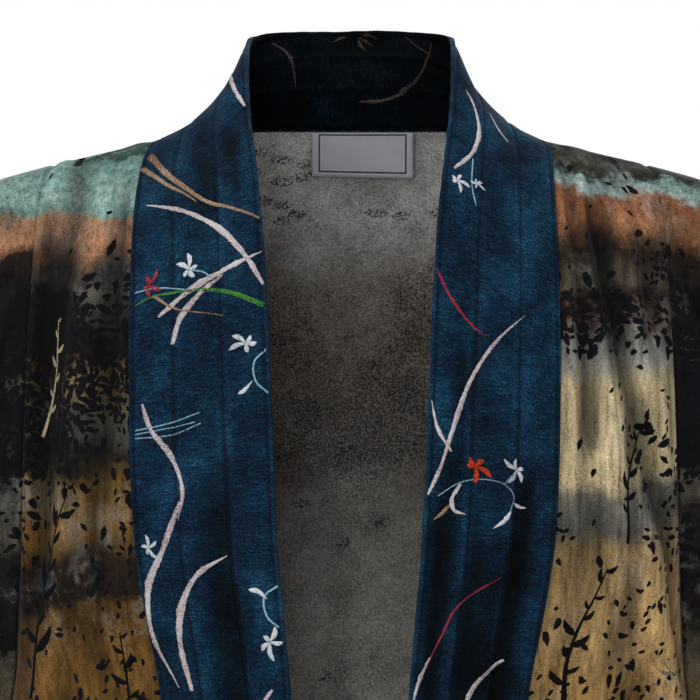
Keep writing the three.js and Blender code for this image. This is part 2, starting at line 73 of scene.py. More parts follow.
def smooth(value: np.ndarray | float) -> np.ndarray:
    """Returns the smooth step of a value between 0 and 1."""
    share = np.clip(value, 0.0, 1.0)
    return share * share * (3.0 - 2.0 * share)


def mix(low: np.ndarray | float, high: np.ndarray | float, share: np.ndarray | float) -> np.ndarray:
    """Returns the value at a share of the way from low to high."""
    return low + (high - low) * share


def unit(vectors: np.ndarray) -> np.ndarray:
    """Returns vectors, along the last axis, with a length of one."""
    return vectors / np.maximum(np.linalg.norm(vectors, axis=-1, keepdims=True), 1e-9)


def spline(points: np.ndarray, at: np.ndarray) -> np.ndarray:
    """Follows a centripetal curve through points.

    Args:
        points: The points that the curve goes through.
        at: Places on the curve, in points from its start.

    Returns:
        One point for each place.
    """
    ends = (2 * points[:1] - points[1:2], points, 2 * points[-1:] - points[-2:-1])
    padded = np.concatenate(ends)
    at = np.clip(np.asarray(at, dtype=float), 0.0, len(points) - 1.0)
    below = np.minimum(at.astype(int), len(points) - 2)
    share = (at - below)[:, None]
    p0, p1, p2, p3 = (padded[below + k] for k in range(4))
    gaps = [
        np.maximum(np.linalg.norm(b - a, axis=1) ** 0.5, 1e-3)[:, None]
        for a, b in ((p0, p1), (p1, p2), (p2, p3))
    ]
    before, here, after = gaps
    leaving = ((p1 - p0) / before - (p2 - p0) / (before + here) + (p2 - p1) / here) * here
    arriving = ((p2 - p1) / here - (p3 - p1) / (here + after) + (p3 - p2) / after) * here
    square = share * share
    cube = square * share
    return (
        (2 * cube - 3 * square + 1) * p1
        + (cube - 2 * square + share) * leaving
        + (3 * square - 2 * cube) * p2
        + (cube - square) * arriving
    )


class Side(Enum):
    """The wearer's sides, with the sign of X on each."""

    LEFT = 1
    RIGHT = -1

    @property
    def word(self) -> str:
        """Returns the side's word in the names of pieces and nodes."""
        return self.name.lower()


@dataclass(frozen=True)
class Section:
    """One height of the body.

    Attributes:
        band: The neck band's seam.
        free: The neck band's free edge.
        fore: The armhole before the arm.
        aft: The armhole behind the arm, and the side seam under it.
        nape: The back's line under the neck's corner.
        spine: The middle of the back.
        turn: How far the cloth has turned to the side, in degrees.
    """

    band: tuple[float, float, float]
    free: tuple[float, float, float]
    fore: tuple[float, float, float]
    aft: tuple[float, float, float]
    nape: tuple[float, float, float]
    spine: tuple[float, float, float]
    turn: float


def hanging(
    drop: float,
    band: tuple[float, float],
    free: tuple[float, float],
    side: float,
    nape: tuple[float, float],
    spine: float,
) -> Section:
    """Builds a level section under the arms, where the front and the back meet at the side.

    Args:
        drop: How far it lies under the shoulder.
        band: The X and Y of the neck band's seam.
        free: Those of its free edge.
        side: The X of the side seam.
        nape: The X and Y of the back's line.
        spine: The Y of the middle of the back.

    Returns:
        The section.
    """
    edge = (side, 0, -drop)
    return Section((*band, -drop), (*free, -drop), edge, edge, (*nape, -drop), (0, spine, -drop), 90)


NECK_SEAM = ((0, 72, 16.5), (40, 70, 16.5), (78, 60, 16), (112, 41, 13), (138, 18, 8.5))
NECK_FREE = ((0, 117, 97.5), (37, 113, 97), (67, 96, 94.5), (79.5, 68, 91), (81.5, 38, 83))
SECTIONS = (
    Section((152, 0, 5), (81, 14, 71), (231, 0, -13.5), (231, 0, -13.5), (152, 0, 5), (0, 72, 16.5), 0),
    Section((157, -20, -4), (80, -12, 51), (235, -18, -19), (235, 19, -19), (157, 22, -3), (0, 80, 4), 4),
    Section(
        (160, -46, -28), (77.5, -40, 22), (239, -36, -38), (239, 39, -38),
        (161, 47, -20), (0, 88, -14), 8,
    ),
    Section(
        (162, -67, -63), (71, -68, -17), (242, -50, -68), (242, 56, -68),
        (163, 68, -50), (0, 96, -45), 12,
    ),
    Section(
        (163, -81.5, -104), (66, -93, -69), (244.5, -60, -107), (245, 68, -107),
        (164, 83, -92), (0, 102, -88), 16,
    ),
    Section(
        (163.5, -91.5, -151), (62.5, -112, -127), (247, -66, -154), (248, 76, -154),
        (165, 92, -142), (0, 106.5, -139), 21,
    ),
    Section(
        (163, -98.5, -203), (59.5, -124.5, -189), (249, -67, -206), (250, 79, -206),
        (165.5, 97.5, -197), (0, 109.5, -195), 26,
    ),
    Section(
        (161.5, -103.5, -259), (57, -132, -252), (251, -64, -262), (252, 76, -262),
        (166, 100, -256), (0, 111, -255), 33,
    ),
    Section(
        (157.5, -105, -314), (54, -135, -312), (253, -54, -318), (254, 66, -318),
        (167, 100.5, -314), (0, 111, -314), 44,
    ),
    Section(
        (149, -100.5, -366), (49, -135, -366), (256, -38, -370), (257, 47, -370),
        (168, 100, -369), (0, 110.5, -368), 60,
    ),
    Section(
        (141, -90.5, -410), (45.5, -133.5, -410), (260, -19, -413), (260, 24, -413),
        (169, 99, -412), (0, 110, -411), 78,
    ),
    hanging(442, (137.5, -88.5), (43.5, -133), 265, (169.5, 98.5), 110),
    hanging(525, (133.5, -93), (38.5, -134), 272, (173, 98), 111),
    hanging(650, (133, -99), (33, -135), 277, (177, 101), 115),
    hanging(820, (134, -103), (30, -135), 282, (181, 104), 118),
    hanging(1020, (135, -106), (30, -135), 286, (185, 107), 120),
    hanging(HEM_DROP, (136, -108), (31, -136), 291, (190, 110), 122),
)
LAST = len(SECTIONS) - 1


@dataclass(frozen=True)
class Fold:
    """A soft ridge, or a trough where its height is negative, and the line that it follows on its piece.

    Attributes:
        top: Where it starts, as a drop in millimetres, or on a sleeve as a share of the length.
        bottom: Where it ends.
        start: Its place across the piece at the top, as a share.
        end: Its place at the bottom.
        half: About half its width in millimetres.
        height: How far it stands out.
        rise: The share of its length in which it rises, and in which it runs out.
    """

    top: float
    bottom: float
    start: float
    end: float
    half: float
    height: float
    rise: float = 0.35

    def heights(self, along: np.ndarray, away: np.ndarray, runs_out: bool) -> np.ndarray:
        """Finds how high the fold stands.

        Args:
            along: Each point's share of the way along the fold.
            away: Its distance from the fold's line.
            runs_out: Whether the fold goes on past its bottom.

        Returns:
            A height for each point.
        """
        swell = smooth(along / self.rise)
        if not runs_out:
            swell = swell * smooth((1 - along) / self.rise)
        live = (along > 0) & ((along < 1) | runs_out)
        return np.where(live, self.height * swell * np.exp(-((away / self.half) ** 2)), 0.0)


def fold_heights(
    folds: tuple[Fold, ...], across: np.ndarray, width: np.ndarray, drop: np.ndarray
) -> np.ndarray:
    """Adds up the folds of a piece of the body.

    Args:
        folds: The folds, by their drop under the origin and their share across the piece.
        across: Each point's share across the piece.
        width: The piece's width at each point.
        drop: Each point's drop under the origin.

    Returns:
        How far each point stands out.
    """
    total = np.zeros_like(drop)
    for fold in folds:
        along = (drop - fold.top) / (fold.bottom - fold.top)
        middle = mix(fold.start, fold.end, np.minimum(along, 1.0))
        total += fold.heights(along, (across - middle) * width, fold.bottom >= HEM_DROP)
    return total


def ripples(across: np.ndarray, down: np.ndarray, size: float, seed: int) -> np.ndarray:
    """Returns the faint unevenness of hanging cloth.

    Args:
        across: Distances across the piece.
        down: Distances down the piece.
        size: About the largest height.
        seed: Picks the waves.

    Returns:
        A height for each point.
    """
    draw = np.random.default_rng(seed)
    total = np.zeros_like(across)
    for _ in range(9):
        long_wave, cross_wave = draw.uniform(120, 420), draw.uniform(24, 90)
        slant, phase = draw.uniform(-0.5, 0.5), draw.uniform(0, 2 * math.pi)
        turn = 2 * math.pi * ((across + slant * down) / cross_wave + down / long_wave)
        total += np.sin(turn + phase) * size / 4.5
    return total


FRONT_FOLDS = {
    Side.LEFT: (
        Fold(-6, 250, 0.1, 0.3, 8, -8, 0.14),
        Fold(-4, 330, 0.22, 0.5, 11, 6, 0.14),
        Fold(24, 330, 0.3, 0.92, 9, -9, 0.16),
        Fold(14, 300, 0.52, 1.0, 11, 7, 0.2),
        Fold(230, 560, 0.72, 0.78, 13, 9),
        Fold(330, HEM_DROP, 0.28, 0.24, 19, 12),
        Fold(300, HEM_DROP, 0.52, 0.49, 18, -13),
        Fold(420, HEM_DROP, 0.74, 0.75, 20, 15),
    ),
    Side.RIGHT: (
        Fold(10, 300, 0.16, 0.22, 12, -7),
        Fold(24, 280, 0.42, 0.52, 13, 6),
        Fold(8, 420, 0.83, 0.84, 12, -10),
        Fold(300, HEM_DROP, 0.22, 0.26, 20, 12),
        Fold(350, HEM_DROP, 0.46, 0.5, 19, -13),
        Fold(380, HEM_DROP, 0.7, 0.76, 20, 14),
    ),
}
FRONT_CREASES = {
    Side.LEFT: (
        Fold(0, 130, 0.03, 0.14, 6, 3.2),
        Fold(10, 190, 0.3, 0.42, 6, -3.4),
        Fold(12, 210, 0.56, 0.7, 7, 3.0),
        Fold(60, 260, 0.74, 0.84, 7, -3.4),
        Fold(60, 330, 0.06, 0.12, 6, 2.6),
        Fold(150, 420, 0.6, 0.56, 6, -2.4),
        Fold(210, 470, 0.92, 0.9, 5, -2.6),
    ),
    Side.RIGHT: (
        Fold(8, 150, 0.08, 0.1, 5, -2.2),
        Fold(14, 200, 0.3, 0.36, 5, 2.2),
        Fold(20, 240, 0.6, 0.68, 6, -2.4),
        Fold(30, 300, 0.93, 0.93, 4.5, -2.6),
        Fold(170, 430, 0.34, 0.3, 7, -2.4),
        Fold(240, 470, 0.62, 0.66, 6, 2.2),
    ),
}
BACK_FOLDS = (
    Fold(120, HEM_DROP, -0.8, -0.82, 24, 13),
    Fold(90, HEM_DROP, -0.62, -0.64, 23, -14),
    Fold(160, HEM_DROP, -0.42, -0.44, 25, 14),
    Fold(240, HEM_DROP, -0.2, -0.23, 24, -12),
    Fold(150, HEM_DROP, 0.03, 0.0, 27, 14),
    Fold(210, HEM_DROP, 0.25, 0.22, 24, -12),
    Fold(130, HEM_DROP, 0.46, 0.44, 25, 15),
    Fold(80, HEM_DROP, 0.65, 0.65, 23, -14),
    Fold(170, HEM_DROP, 0.82, 0.83, 24, 13),
)
BACK_CREASES = (
    Fold(10, 150, -0.5, -0.62, 7, -2.2),
    Fold(8, 130, 0.48, 0.6, 7, -2.4),
    Fold(30, 210, -0.9, -0.84, 7, 2.4),
    Fold(36, 230, 0.9, 0.83, 7, 2.6),
    Fold(260, 620, -0.32, -0.3, 9, -3),
    Fold(300, 700, 0.34, 0.33, 9, 3),
    Fold(180, 480, 0.56, 0.52, 8, -2.6),
    Fold(200, 520, -0.54, -0.52, 8, 2.6),
)
BAND_FOLDS = {
    Side.LEFT: (Fold(250, 1120, 0.46, 0.52, 17, -8, 0.16), Fold(300, 900, 0.88, 0.9, 11, 4)),
    Side.RIGHT: (Fold(130, 1060, 0.62, 0.5, 15, -8, 0.28), Fold(420, 1160, 0.95, 0.92, 12, 4)),
}
BAND_CREASES = {
    Side.LEFT: (
        Fold(225, 900, 0.25, 0.31, 7.5, -8.5, 0.13),
        Fold(225, 900, 0.85, 0.86, 8.5, -7.5, 0.13),
        Fold(250, 460, 0.6, 0.6, 6, -3.6),
        Fold(90, 330, 0.72, 0.8, 8, -2),
        Fold(40, 240, 0.3, 0.26, 9, 1.8),
        Fold(700, 1200, 0.34, 0.4, 10, -3),
    ),
    Side.RIGHT: (
        Fold(-30, 80, 0.5, 0.64, 10, -3.6),
        Fold(-20, 60, 0.82, 0.84, 7, -2.4),
        Fold(120, 330, 0.3, 0.24, 10, 1.8),
        Fold(330, 620, 0.08, 0.1, 7, -2.4),
        Fold(360, 640, 0.86, 0.8, 7, 2.2),
        Fold(660, 1180, 0.24, 0.3, 11, -3),
    ),
}
SLEEVE_FOLDS = {
    (Side.LEFT, "front"): (
        Fold(0, 0.5, 0.14, 0.5, 17, -8),
        Fold(0.02, 0.75, 0.36, 0.8, 20, 9),
        Fold(0.1, 1.2, 0.2, 0.56, 18, -8),
        Fold(0.45, 1.3, 0.26, 0.34, 17, 7),
        Fold(0.0, 0.3, 0.3, 0.42, 7, 3),
        Fold(0.3, 0.9, 0.6, 0.78, 8, -3),
    ),
    (Side.LEFT, "back"): (
        Fold(0, 0.8, 0.2, 0.72, 20, -9),
        Fold(0.1, 1.2, 0.3, 0.7, 20, 9),
        Fold(0.3, 1.2, 0.2, 0.42, 18, -8),
        Fold(0.05, 0.5, 0.5, 0.62, 8, 3),
    ),
    (Side.RIGHT, "front"): (
        Fold(0, 0.6, 0.2, 0.62, 18, 8),
        Fold(0.05, 0.9, 0.3, 0.82, 19, -9),
        Fold(0.25, 1.25, 0.2, 0.48, 18, 8),
        Fold(0.0, 0.35, 0.4, 0.5, 7, -3),
        Fold(0.35, 1.0, 0.58, 0.7, 8, 3),
    ),
    (Side.RIGHT, "back"): (
        Fold(0, 0.7, 0.26, 0.7, 20, 8),
        Fold(0.08, 1.1, 0.16, 0.6, 19, -9),
        Fold(0.4, 1.3, 0.3, 0.4, 18, 7),
        Fold(0.05, 0.45, 0.55, 0.7, 8, -3),
    ),
}


@dataclass
class Sheet:
    """A piece of cloth as rows and columns of points on its outer face.

    Attributes:
        points: The points, as rows, columns and coordinates.
        across: Each column's distance from the piece's first edge, in millimetres of cloth.
        down: Each row's distance along the piece, in millimetres of cloth.
        facing: 1 where rows times columns face outwards, and -1 where they face inwards.
        closed: Whether the last column is the first again, as on a tube.
        lie: Painted shade and highlight, from -1, darkest in a trough, to 1, lightest on a ridge.
    """

    points: np.ndarray
    across: np.ndarray
    down: np.ndarray
    facing: int
    closed: bool = False
    lie: np.ndarray | None = None

    def normals(self) -> np.ndarray:
        """Finds the outward direction of the cloth.

        Returns:
            A vector with a length of one for each point.
        """
        along_rows = np.gradient(self.points, axis=0)
        over = np.gradient(self.points, axis=1)
        if self.closed:
            seam = self.points[:, 1] - self.points[:, -2]
            over[:, 0] = seam
            over[:, -1] = seam
        return unit(np.cross(along_rows, over)) * self.facing

    def raised(self, heights: np.ndarray, folds: np.ndarray, deep: float) -> Sheet:
        """Returns the sheet with each point moved outwards.

        Args:
            heights: How far each point moves.
            folds: The part of the heights that folds make, which sets the painted shade and highlight.
            deep: The fold height at which the painted shade of a trough and highlight of a ridge are full.

        Returns:
            The new sheet.
        """
        moved = self.points + self.normals() * heights[..., None]
        if self.closed:
            moved[:, -1] = moved[:, 0]
        # The folds' painted shade and highlight, kept as the lie that colours the velvet
        return Sheet(moved, self.across, self.down, self.facing, self.closed, np.tanh(folds / deep))

    def mirrored(self) -> Sheet:
        """Returns the sheet on the wearer's other side."""
        points = self.points * np.array([-1.0, 1.0, 1.0])
        return Sheet(points, self.across, self.down, -self.facing, self.closed, self.lie)

    def spots(self, seen: np.ndarray, inside: bool = False) -> np.ndarray:
        """Finds where points of the front view lie on the cloth.

        Args:
            seen: Pairs of X and Z in millimetres.
            inside: Whether they lie where the cloth's inside faces the viewer.

        Returns:
            Pairs of distances, across the piece and along it.
        """
        flat = self.points[..., [0, 2]]
        over_rows, over_columns = np.gradient(flat, axis=0), np.gradient(flat, axis=1)
        turned_away = 1000.0 * ((self.normals()[..., 1] > 0) != inside)
        found = []
        for point in seen:
            gap = np.linalg.norm(flat - point, axis=2) + turned_away
            i, j = np.unravel_index(np.argmin(gap), flat.shape[:2])
            step = np.linalg.lstsq(
                np.stack([over_rows[i, j], over_columns[i, j]], axis=1), point - flat[i, j], rcond=None
            )[0]
            row, column = np.array([i, j]) + np.clip(step, -1.5, 1.5)
            down = np.interp(row, np.arange(len(self.down)), self.down)
            found.append((np.interp(column, np.arange(len(self.across)), self.across), down))
        return np.array(found)

    def place(self, spots: np.ndarray, lift: float) -> np.ndarray:
        """Finds places on the cloth.

        Args:
            spots: Pairs of distances, across the piece and along it.
            lift: How far over the cloth the points lie, under it where negative.

        Returns:
            One point in space for each pair.
        """
        column = np.interp(spots[:, 0], self.across, np.arange(len(self.across)))
        row = np.interp(spots[:, 1], self.down, np.arange(len(self.down)))
        i = np.minimum(row.astype(int), len(self.down) - 2)
        j = np.minimum(column.astype(int), len(self.across) - 2)
        s, t = (row - i)[:, None], (column - j)[:, None]
        outer = self.points + self.normals() * lift
        upper = mix(outer[i, j], outer[i, j + 1], t)
        lower = mix(outer[i + 1, j], outer[i + 1, j + 1], t)
        return mix(upper, lower, s)


SEAM_SWAY = 4.0


class Lines:
    """The lines of the dress's cut, which all its pieces share."""

    def __init__(self) -> None:
        """Reads the lines from the sections."""
        self.seam_points = np.array([*NECK_SEAM, *(s.band for s in SECTIONS)], dtype=float)
        self.free_points = np.array([*NECK_FREE, *(s.free for s in SECTIONS)], dtype=float)
        self.turns = np.array([s.turn for s in SECTIONS], dtype=float)

    def seam(self, level: np.ndarray) -> np.ndarray:
        """Returns the neck band's seam, by levels from the shoulder that are negative along the neck."""
        return spline(self.seam_points, np.asarray(level) + NECK_ROWS)

    def free(self, level: np.ndarray) -> np.ndarray:
        """Returns the neck band's free edge."""
        return spline(self.free_points, np.asarray(level) + NECK_ROWS)

    def body(self, column: str, level: np.ndarray) -> np.ndarray:
        """Returns one column of the sections as a smooth line."""
        return spline(np.array([getattr(s, column) for s in SECTIONS], dtype=float), level)

    def side(self, column: str, level: np.ndarray) -> np.ndarray:
        """Returns the armhole before or behind the arm, and the side seam under it."""
        hole = spline(np.array([getattr(s, column) for s in SECTIONS[: UNDERARM + 1]], dtype=float), level)
        return np.where((np.asarray(level) <= UNDERARM)[:, None], hole, self.body("aft", level))

    def front_seam(self, level: np.ndarray, side: Side) -> np.ndarray:
        """Follows the band's seam, which sways a little to the wearer's right.

        Args:
            level: Levels from the shoulder.
            side: The side that the seam is on.

        Returns:
            A point of the seam for each level.
        """
        seam = self.seam(level)
        seam[:, 0] -= side.value * SEAM_SWAY * smooth(np.asarray(level) / 3)
        return seam

    def turn(self, level: np.ndarray) -> np.ndarray:
        """Returns how far the cloth has turned to the side at the armhole, in radians."""
        return np.radians(np.interp(level, np.arange(len(self.turns)), self.turns))


LINES = Lines()


def body_levels(fine: float, coarse: float, neck: bool = False) -> np.ndarray:
    """Divides the body's height into rows.

    Args:
        fine: Distance between rows down to the waist.
        coarse: Distance between rows under it.
        neck: Whether the rows start at the centre back of the neck.

    Returns:
        The rows' levels.
    """
    levels = []
    for k in range(-NECK_ROWS if neck else 0, LAST):
        ends = LINES.free(np.array([k, k + 1.0]))
        spacing = fine if k < UNDERARM + 1 else coarse
        count = max(2, round(float(np.linalg.norm(ends[1] - ends[0])) / spacing))
        levels.extend(np.linspace(k, k + 1, count, endpoint=False))
    return np.array([*levels, LAST], dtype=float)


def run(points: np.ndarray) -> np.ndarray:
    """Returns each point's distance along a line of points."""
    return np.concatenate([[0.0], np.cumsum(np.linalg.norm(np.diff(points, axis=0), axis=1))])


SEAM_DIP = 1.3
SEAM_REACH = 3.0
CALM_SHARE = 0.14
HEM_DEPTH = 24.0
CROWDING = 0.8


def seam_dip(distance: np.ndarray) -> np.ndarray:
    """Returns how the cloth sinks towards a seam at a distance."""
    return -SEAM_DIP * np.exp(-((distance / SEAM_REACH) ** 2))


def hem_line(distance: np.ndarray) -> np.ndarray:
    """Returns how the blind-stitched line of a turned hem sinks, at a distance from the edge."""
    return -0.5 * np.exp(-(((distance - HEM_DEPTH) / 1.8) ** 2))


def calm(share: np.ndarray) -> np.ndarray:
    """Returns how freely folds move the cloth at a share of the width from a seam."""
    return smooth(share / CALM_SHARE)


def graded(count: int) -> np.ndarray:
    """Returns shares from 0 to 1, in a number of steps that crowd towards both ends."""
    share = np.linspace(0.0, 1.0, count + 1)
    return share - CROWDING * share * (1 - share) ** 3 + CROWDING * share**3 * (1 - share)


STITCHED_LINES = (3.2, 34.5, 70.0, 101.0)


def channels(distance: np.ndarray, down: np.ndarray, side: Side) -> np.ndarray:
    """Returns the swell of the stitched channels, their grooves and the puckers beside them.

    Args:
        distance: Distances from the band's seam.
        down: Distances along the band.
        side: The wearer's side, which shifts the puckers.

    Returns:
        A height for each point.
    """
    lines = np.array(STITCHED_LINES)
    inner = (distance > lines[0]) & (distance < lines[-1])
    share = np.interp(distance, lines, np.arange(len(lines)))
    total = np.where(inner, 0.9 * np.abs(np.sin(np.pi * share)), 0.0)
    for number, line in enumerate(STITCHED_LINES):
        away = distance - line
        depth = 0.9 + 0.25 * np.sin(down / (37.0 + 5 * number) + number)
        total -= depth * np.exp(-((away / 1.5) ** 2))
        puckers = np.sin(down * 2 * np.pi / (13.0 + 1.7 * number) + away * 0.25 + number * side.value)
        uneven = 0.5 + 0.5 * np.sin(down / (61.0 - 7 * number) + 2 * number)
        total += 0.3 * puckers * uneven * np.exp(-np.abs(away) / 6.0)
    return total


@dataclass(frozen=True)
class SleeveRing:
    """One section of a sleeve: its top and bottom in X and Z, its half depths and its lean to the back."""

    top: tuple[float, float]
    bottom: tuple[float, float]
    arm: float
    hang: float
    lean: float


SLEEVE_RINGS = (
    SleeveRing((231, -13.5), (265, -442), 74, 62, -5),
    SleeveRing((252, -19), (281, -449), 73, 57, -4),
    SleeveRing((274, -25.5), (300, -458), 72, 52, -2),
    SleeveRing((304, -38), (327, -471), 70, 46, 1),
    SleeveRing((340, -60), (359, -489), 68, 41, 2),
    SleeveRing((380, -91), (394, -510), 66, 37, 1),
    SleeveRing((422, -128), (429, -533), 64, 33, -2),
    SleeveRing((465, -166), (461, -556), 62, 30, -6),
    SleeveRing((506, -203), (491, -580), 60, 28, -10),
)


def linear(colour: str) -> tuple[float, float, float, float]:
    """Turns a colour into what a shader takes.

    Args:
        colour: The colour as sRGB in hex.

    Returns:
        Its linear red, green and blue, with an alpha of one.
    """
    channels_srgb = [int(colour[k : k + 2], 16) / 255 for k in (1, 3, 5)]
    values = [c / 12.92 if c <= 0.04045 else ((c + 0.055) / 1.055) ** 2.4 for c in channels_srgb]
    return (values[0], values[1], values[2], 1.0)


def add_node(
    tree: NodeTree,
    kind: str,
    inputs: dict[str | int, object] | Sequence[object] = (),
    **settings: str,
) -> Node:
    """Adds a shader node with its settings and links.

    Args:
        tree: The material's node tree.
        kind: The node's type, without the words that all types start with.
        inputs: What goes into its inputs, in order or by their names or numbers: a value, a socket, or
            a node whose first output is linked.
        settings: Its own options.

    Returns:
        The new node.
    """
    node = tree.nodes.new(f"ShaderNode{kind}")
    for name, value in settings.items():
        setattr(node, name, value)
    for name, value in inputs.items() if isinstance(inputs, dict) else enumerate(inputs):
        source = value.outputs[0] if isinstance(value, Node) else value
        if isinstance(source, NodeSocket):
            tree.links.new(source, node.inputs[name])
        else:
            node.inputs[name].default_value = source
    return node


def set_ramp(node: Node, stops: Sequence[tuple[float, str | float]]) -> None:
    """Gives a colour ramp its stops.

    Args:
        node: The ramp's node.
        stops: Places from 0 to 1, with hex colours or plain numbers.
    """
    ramp = node.color_ramp
    while len(ramp.elements) > 1:
        ramp.elements.remove(ramp.elements[-1])
    for number, (place, value) in enumerate(stops):
        element = ramp.elements[0] if number == 0 else ramp.elements.new(place)
        element.position = place
        element.color = linear(value) if isinstance(value, str) else (value, value, value, 1.0)


class Tone(Enum):
    """The colours of the printed motifs."""

    PALE = "pale twig"
    WHITE = "white petal"
    RED = "red petal"
    CRIMSON = "crimson twig"
    GREEN = "green stem"
    REED = "tan reed"
    TENDRIL = "blue grey tendril"
    INK = "black leaf"
    SAND = "sand leaf"
    DIM = "twig in shade"


@dataclass(frozen=True)
class VelvetSurface:
    """Short dense pile: dark where it is looked into, light along its grazing edges.

    Attributes:
        sheen: How strongly grazing pile shines.
        sheen_tint: The colour of that shine.
        crush: How far the pile's soft crush marks stand up, in millimetres.
        trough: The share of the colour that is left in a trough, as painted shade.
        ridge: The share of the colour on a ridge, as painted highlight.
        roughness: How matt the cloth is.
        specular: How strongly it shines apart from the pile.
        pile_mm: The size of the pile's grain in millimetres.
    """

    sheen: float = 0.13
    sheen_tint: str = "#C9CBD2"
    crush: float = 1.1
    trough: float = 0.22
    ridge: float = 1.6
    roughness: float = 0.85
    specular: float = 0.12
    pile_mm: float = 1.1

    def shade(self, add: AddNode, colour: Feed, where: Feed) -> None:
        """Finishes a material with this surface.

        Args:
            add: The function that adds a node to the material.
            colour: The node or socket that gives its colour.
            where: The coordinates that its pile follows.
        """
        # Painted shade and highlight: the colour is scaled from trough to ridge by the folds' lie
        lie = add("Attribute", attribute_name="lie")
        amount = add("MapRange", [lie.outputs["Fac"], -1.0, 1.0, self.trough, self.ridge])
        tone = add("VectorMath", {0: colour, "Scale": amount}, operation="SCALE")
        pile = add(
            "TexNoise",
            {"Vector": where, "Scale": 1 / (self.pile_mm * MM), "Detail": 2.0, "Roughness": 0.6},
        )
        fine = add("Bump", {"Height": pile, "Strength": 0.5, "Distance": 0.0004})
        # Crush marks run down the cloth, about 20 mm wide and three times as long
        fall = add("Mapping", {"Vector": where, "Scale": (1.0, 1.0, 0.32)})
        marks = add("TexNoise", {"Vector": fall, "Scale": 48.0, "Detail": 3.0, "Roughness": 0.5})
        bump = add(
            "Bump",
            {"Height": marks, "Strength": 0.8, "Distance": self.crush * 4 * MM, "Normal": fine},
        )
        shader = add(
            "BsdfPrincipled",
            {
                "Roughness": self.roughness, "Sheen Weight": self.sheen, "Sheen Roughness": 0.4,
                "Sheen Tint": linear(self.sheen_tint), "Specular IOR Level": self.specular,
                "Base Color": tone, "Normal": bump,
            },
        )
        add("OutputMaterial", {"Surface": shader})


def new_material(name: str) -> tuple[Material, AddNode]:
    """Makes an empty node material.

    Args:
        name: Its name.

    Returns:
        The material, and the function that adds a node to it.
    """
    material = bpy.data.materials.new(name)
    material.use_nodes = True
    material.node_tree.nodes.clear()
    return material, partial(add_node, material.node_tree)


def spread_flat(add: AddNode, where: Feed) -> Feed:
    """Lays the cloth's places out flat, the side panels beside the front and the back.

    Args:
        add: The function that adds a node to the material.
        where: The object coordinates.

    Returns:
        A node that gives the distance across and the drop, in metres.
    """
    split = add("SeparateXYZ", [where])
    out = add("Math", [split.outputs["Y"]], operation="ABSOLUTE")
    depth = add("Math", [0.12, out], operation="SUBTRACT")
    aside = add("MapRange", [split.outputs["X"], -0.25, 0.25, -0.7, 0.7])
    across = add("Math", [depth, aside, split.outputs["X"]], operation="MULTIPLY_ADD")
    fallen = add("Math", [split.outputs["Z"], -1.0], operation="MULTIPLY")
    return add("CombineXYZ", {"X": across, "Y": fallen})


@dataclass(frozen=True)
class Foliage:
    """Printed leaves, one in each cell of a loose scatter and each turned its own way.

    Attributes:
        cells: How many leaves lie in a metre.
        length: A leaf's length in millimetres.
        width: Its width at the middle in millimetres.
        swing: How far leaves turn from level, in radians.
    """

    cells: float
    length: float
    width: float
    swing: float = 6.28

    def mask(
        self, add: AddNode, flat: Feed, amounts: tuple[tuple[float, float], ...], reach: float
    ) -> Feed:
        """Builds the leaves' mask.

        Args:
            add: The function that adds a node to the material.
            flat: The flat coordinates, with the drop as their second value.
            amounts: How thick the leaves are, as drops in millimetres with the share of cells that
                have one.
            reach: How far down the amounts start again, in millimetres.

        Returns:
            A node that gives 1 on a leaf.
        """
        cell = add(
            "TexVoronoi", {"Vector": flat, "Scale": self.cells, "Randomness": 0.85},
            voronoi_dimensions="2D",
        )
        chance = add("SeparateColor", [cell.outputs["Color"]])
        away = add("VectorMath", [flat, cell.outputs["Position"]], operation="SUBTRACT")
        angle = add("Math", [chance, self.swing, -self.swing / 2], operation="MULTIPLY_ADD")
        turned = add("VectorRotate", {"Vector": away, "Angle": angle}, rotation_type="Z_AXIS")
        parts = add("SeparateXYZ", [turned])
        along = add("Math", [parts.outputs["X"], self.length / 2 * MM], operation="DIVIDE")
        square = add("Math", [along, along], operation="MULTIPLY")
        beside = add("Math", [parts.outputs["Y"]], operation="ABSOLUTE")
        shape = add("Math", [beside, 2 / (self.width * MM), square], operation="MULTIPLY_ADD")
        torn = add("TexNoise", {"Vector": flat, "Scale": 420.0, "Detail": 3.0, "Roughness": 0.7})
        rough = add("Math", [torn, 0.7, shape], operation="MULTIPLY_ADD")
        inside = add("MapRange", [rough, 1.2, 1.42, 1.0, 0.0])
        centre = add("SeparateXYZ", [cell.outputs["Position"]])
        share = add("Math", [centre.outputs["Y"], reach * MM], operation="DIVIDE")
        wrapped = add("Math", [share], operation="FRACT")
        amount = add("ValToRGB", {"Fac": wrapped})
        set_ramp(amount, [(place / reach, value) for place, value in amounts])
        drifts = add("TexNoise", {"Vector": cell.outputs["Position"], "Scale": 9.0, "Detail": 3.0})
        crowd = add("MapRange", [drifts, 0.42, 0.6, 0.1, 1.7])
        wanted = add("Math", [amount, crowd], operation="MULTIPLY")
        kept = add("Math", [chance.outputs[1], wanted], operation="LESS_THAN")
        return add("Math", [inside, kept], operation="MULTIPLY")


PRINTED_LEAVES = (Foliage(88.0, 15.0, 6.4), Foliage(120.0, 10.0, 4.4), Foliage(170.0, 7.5, 3.2))


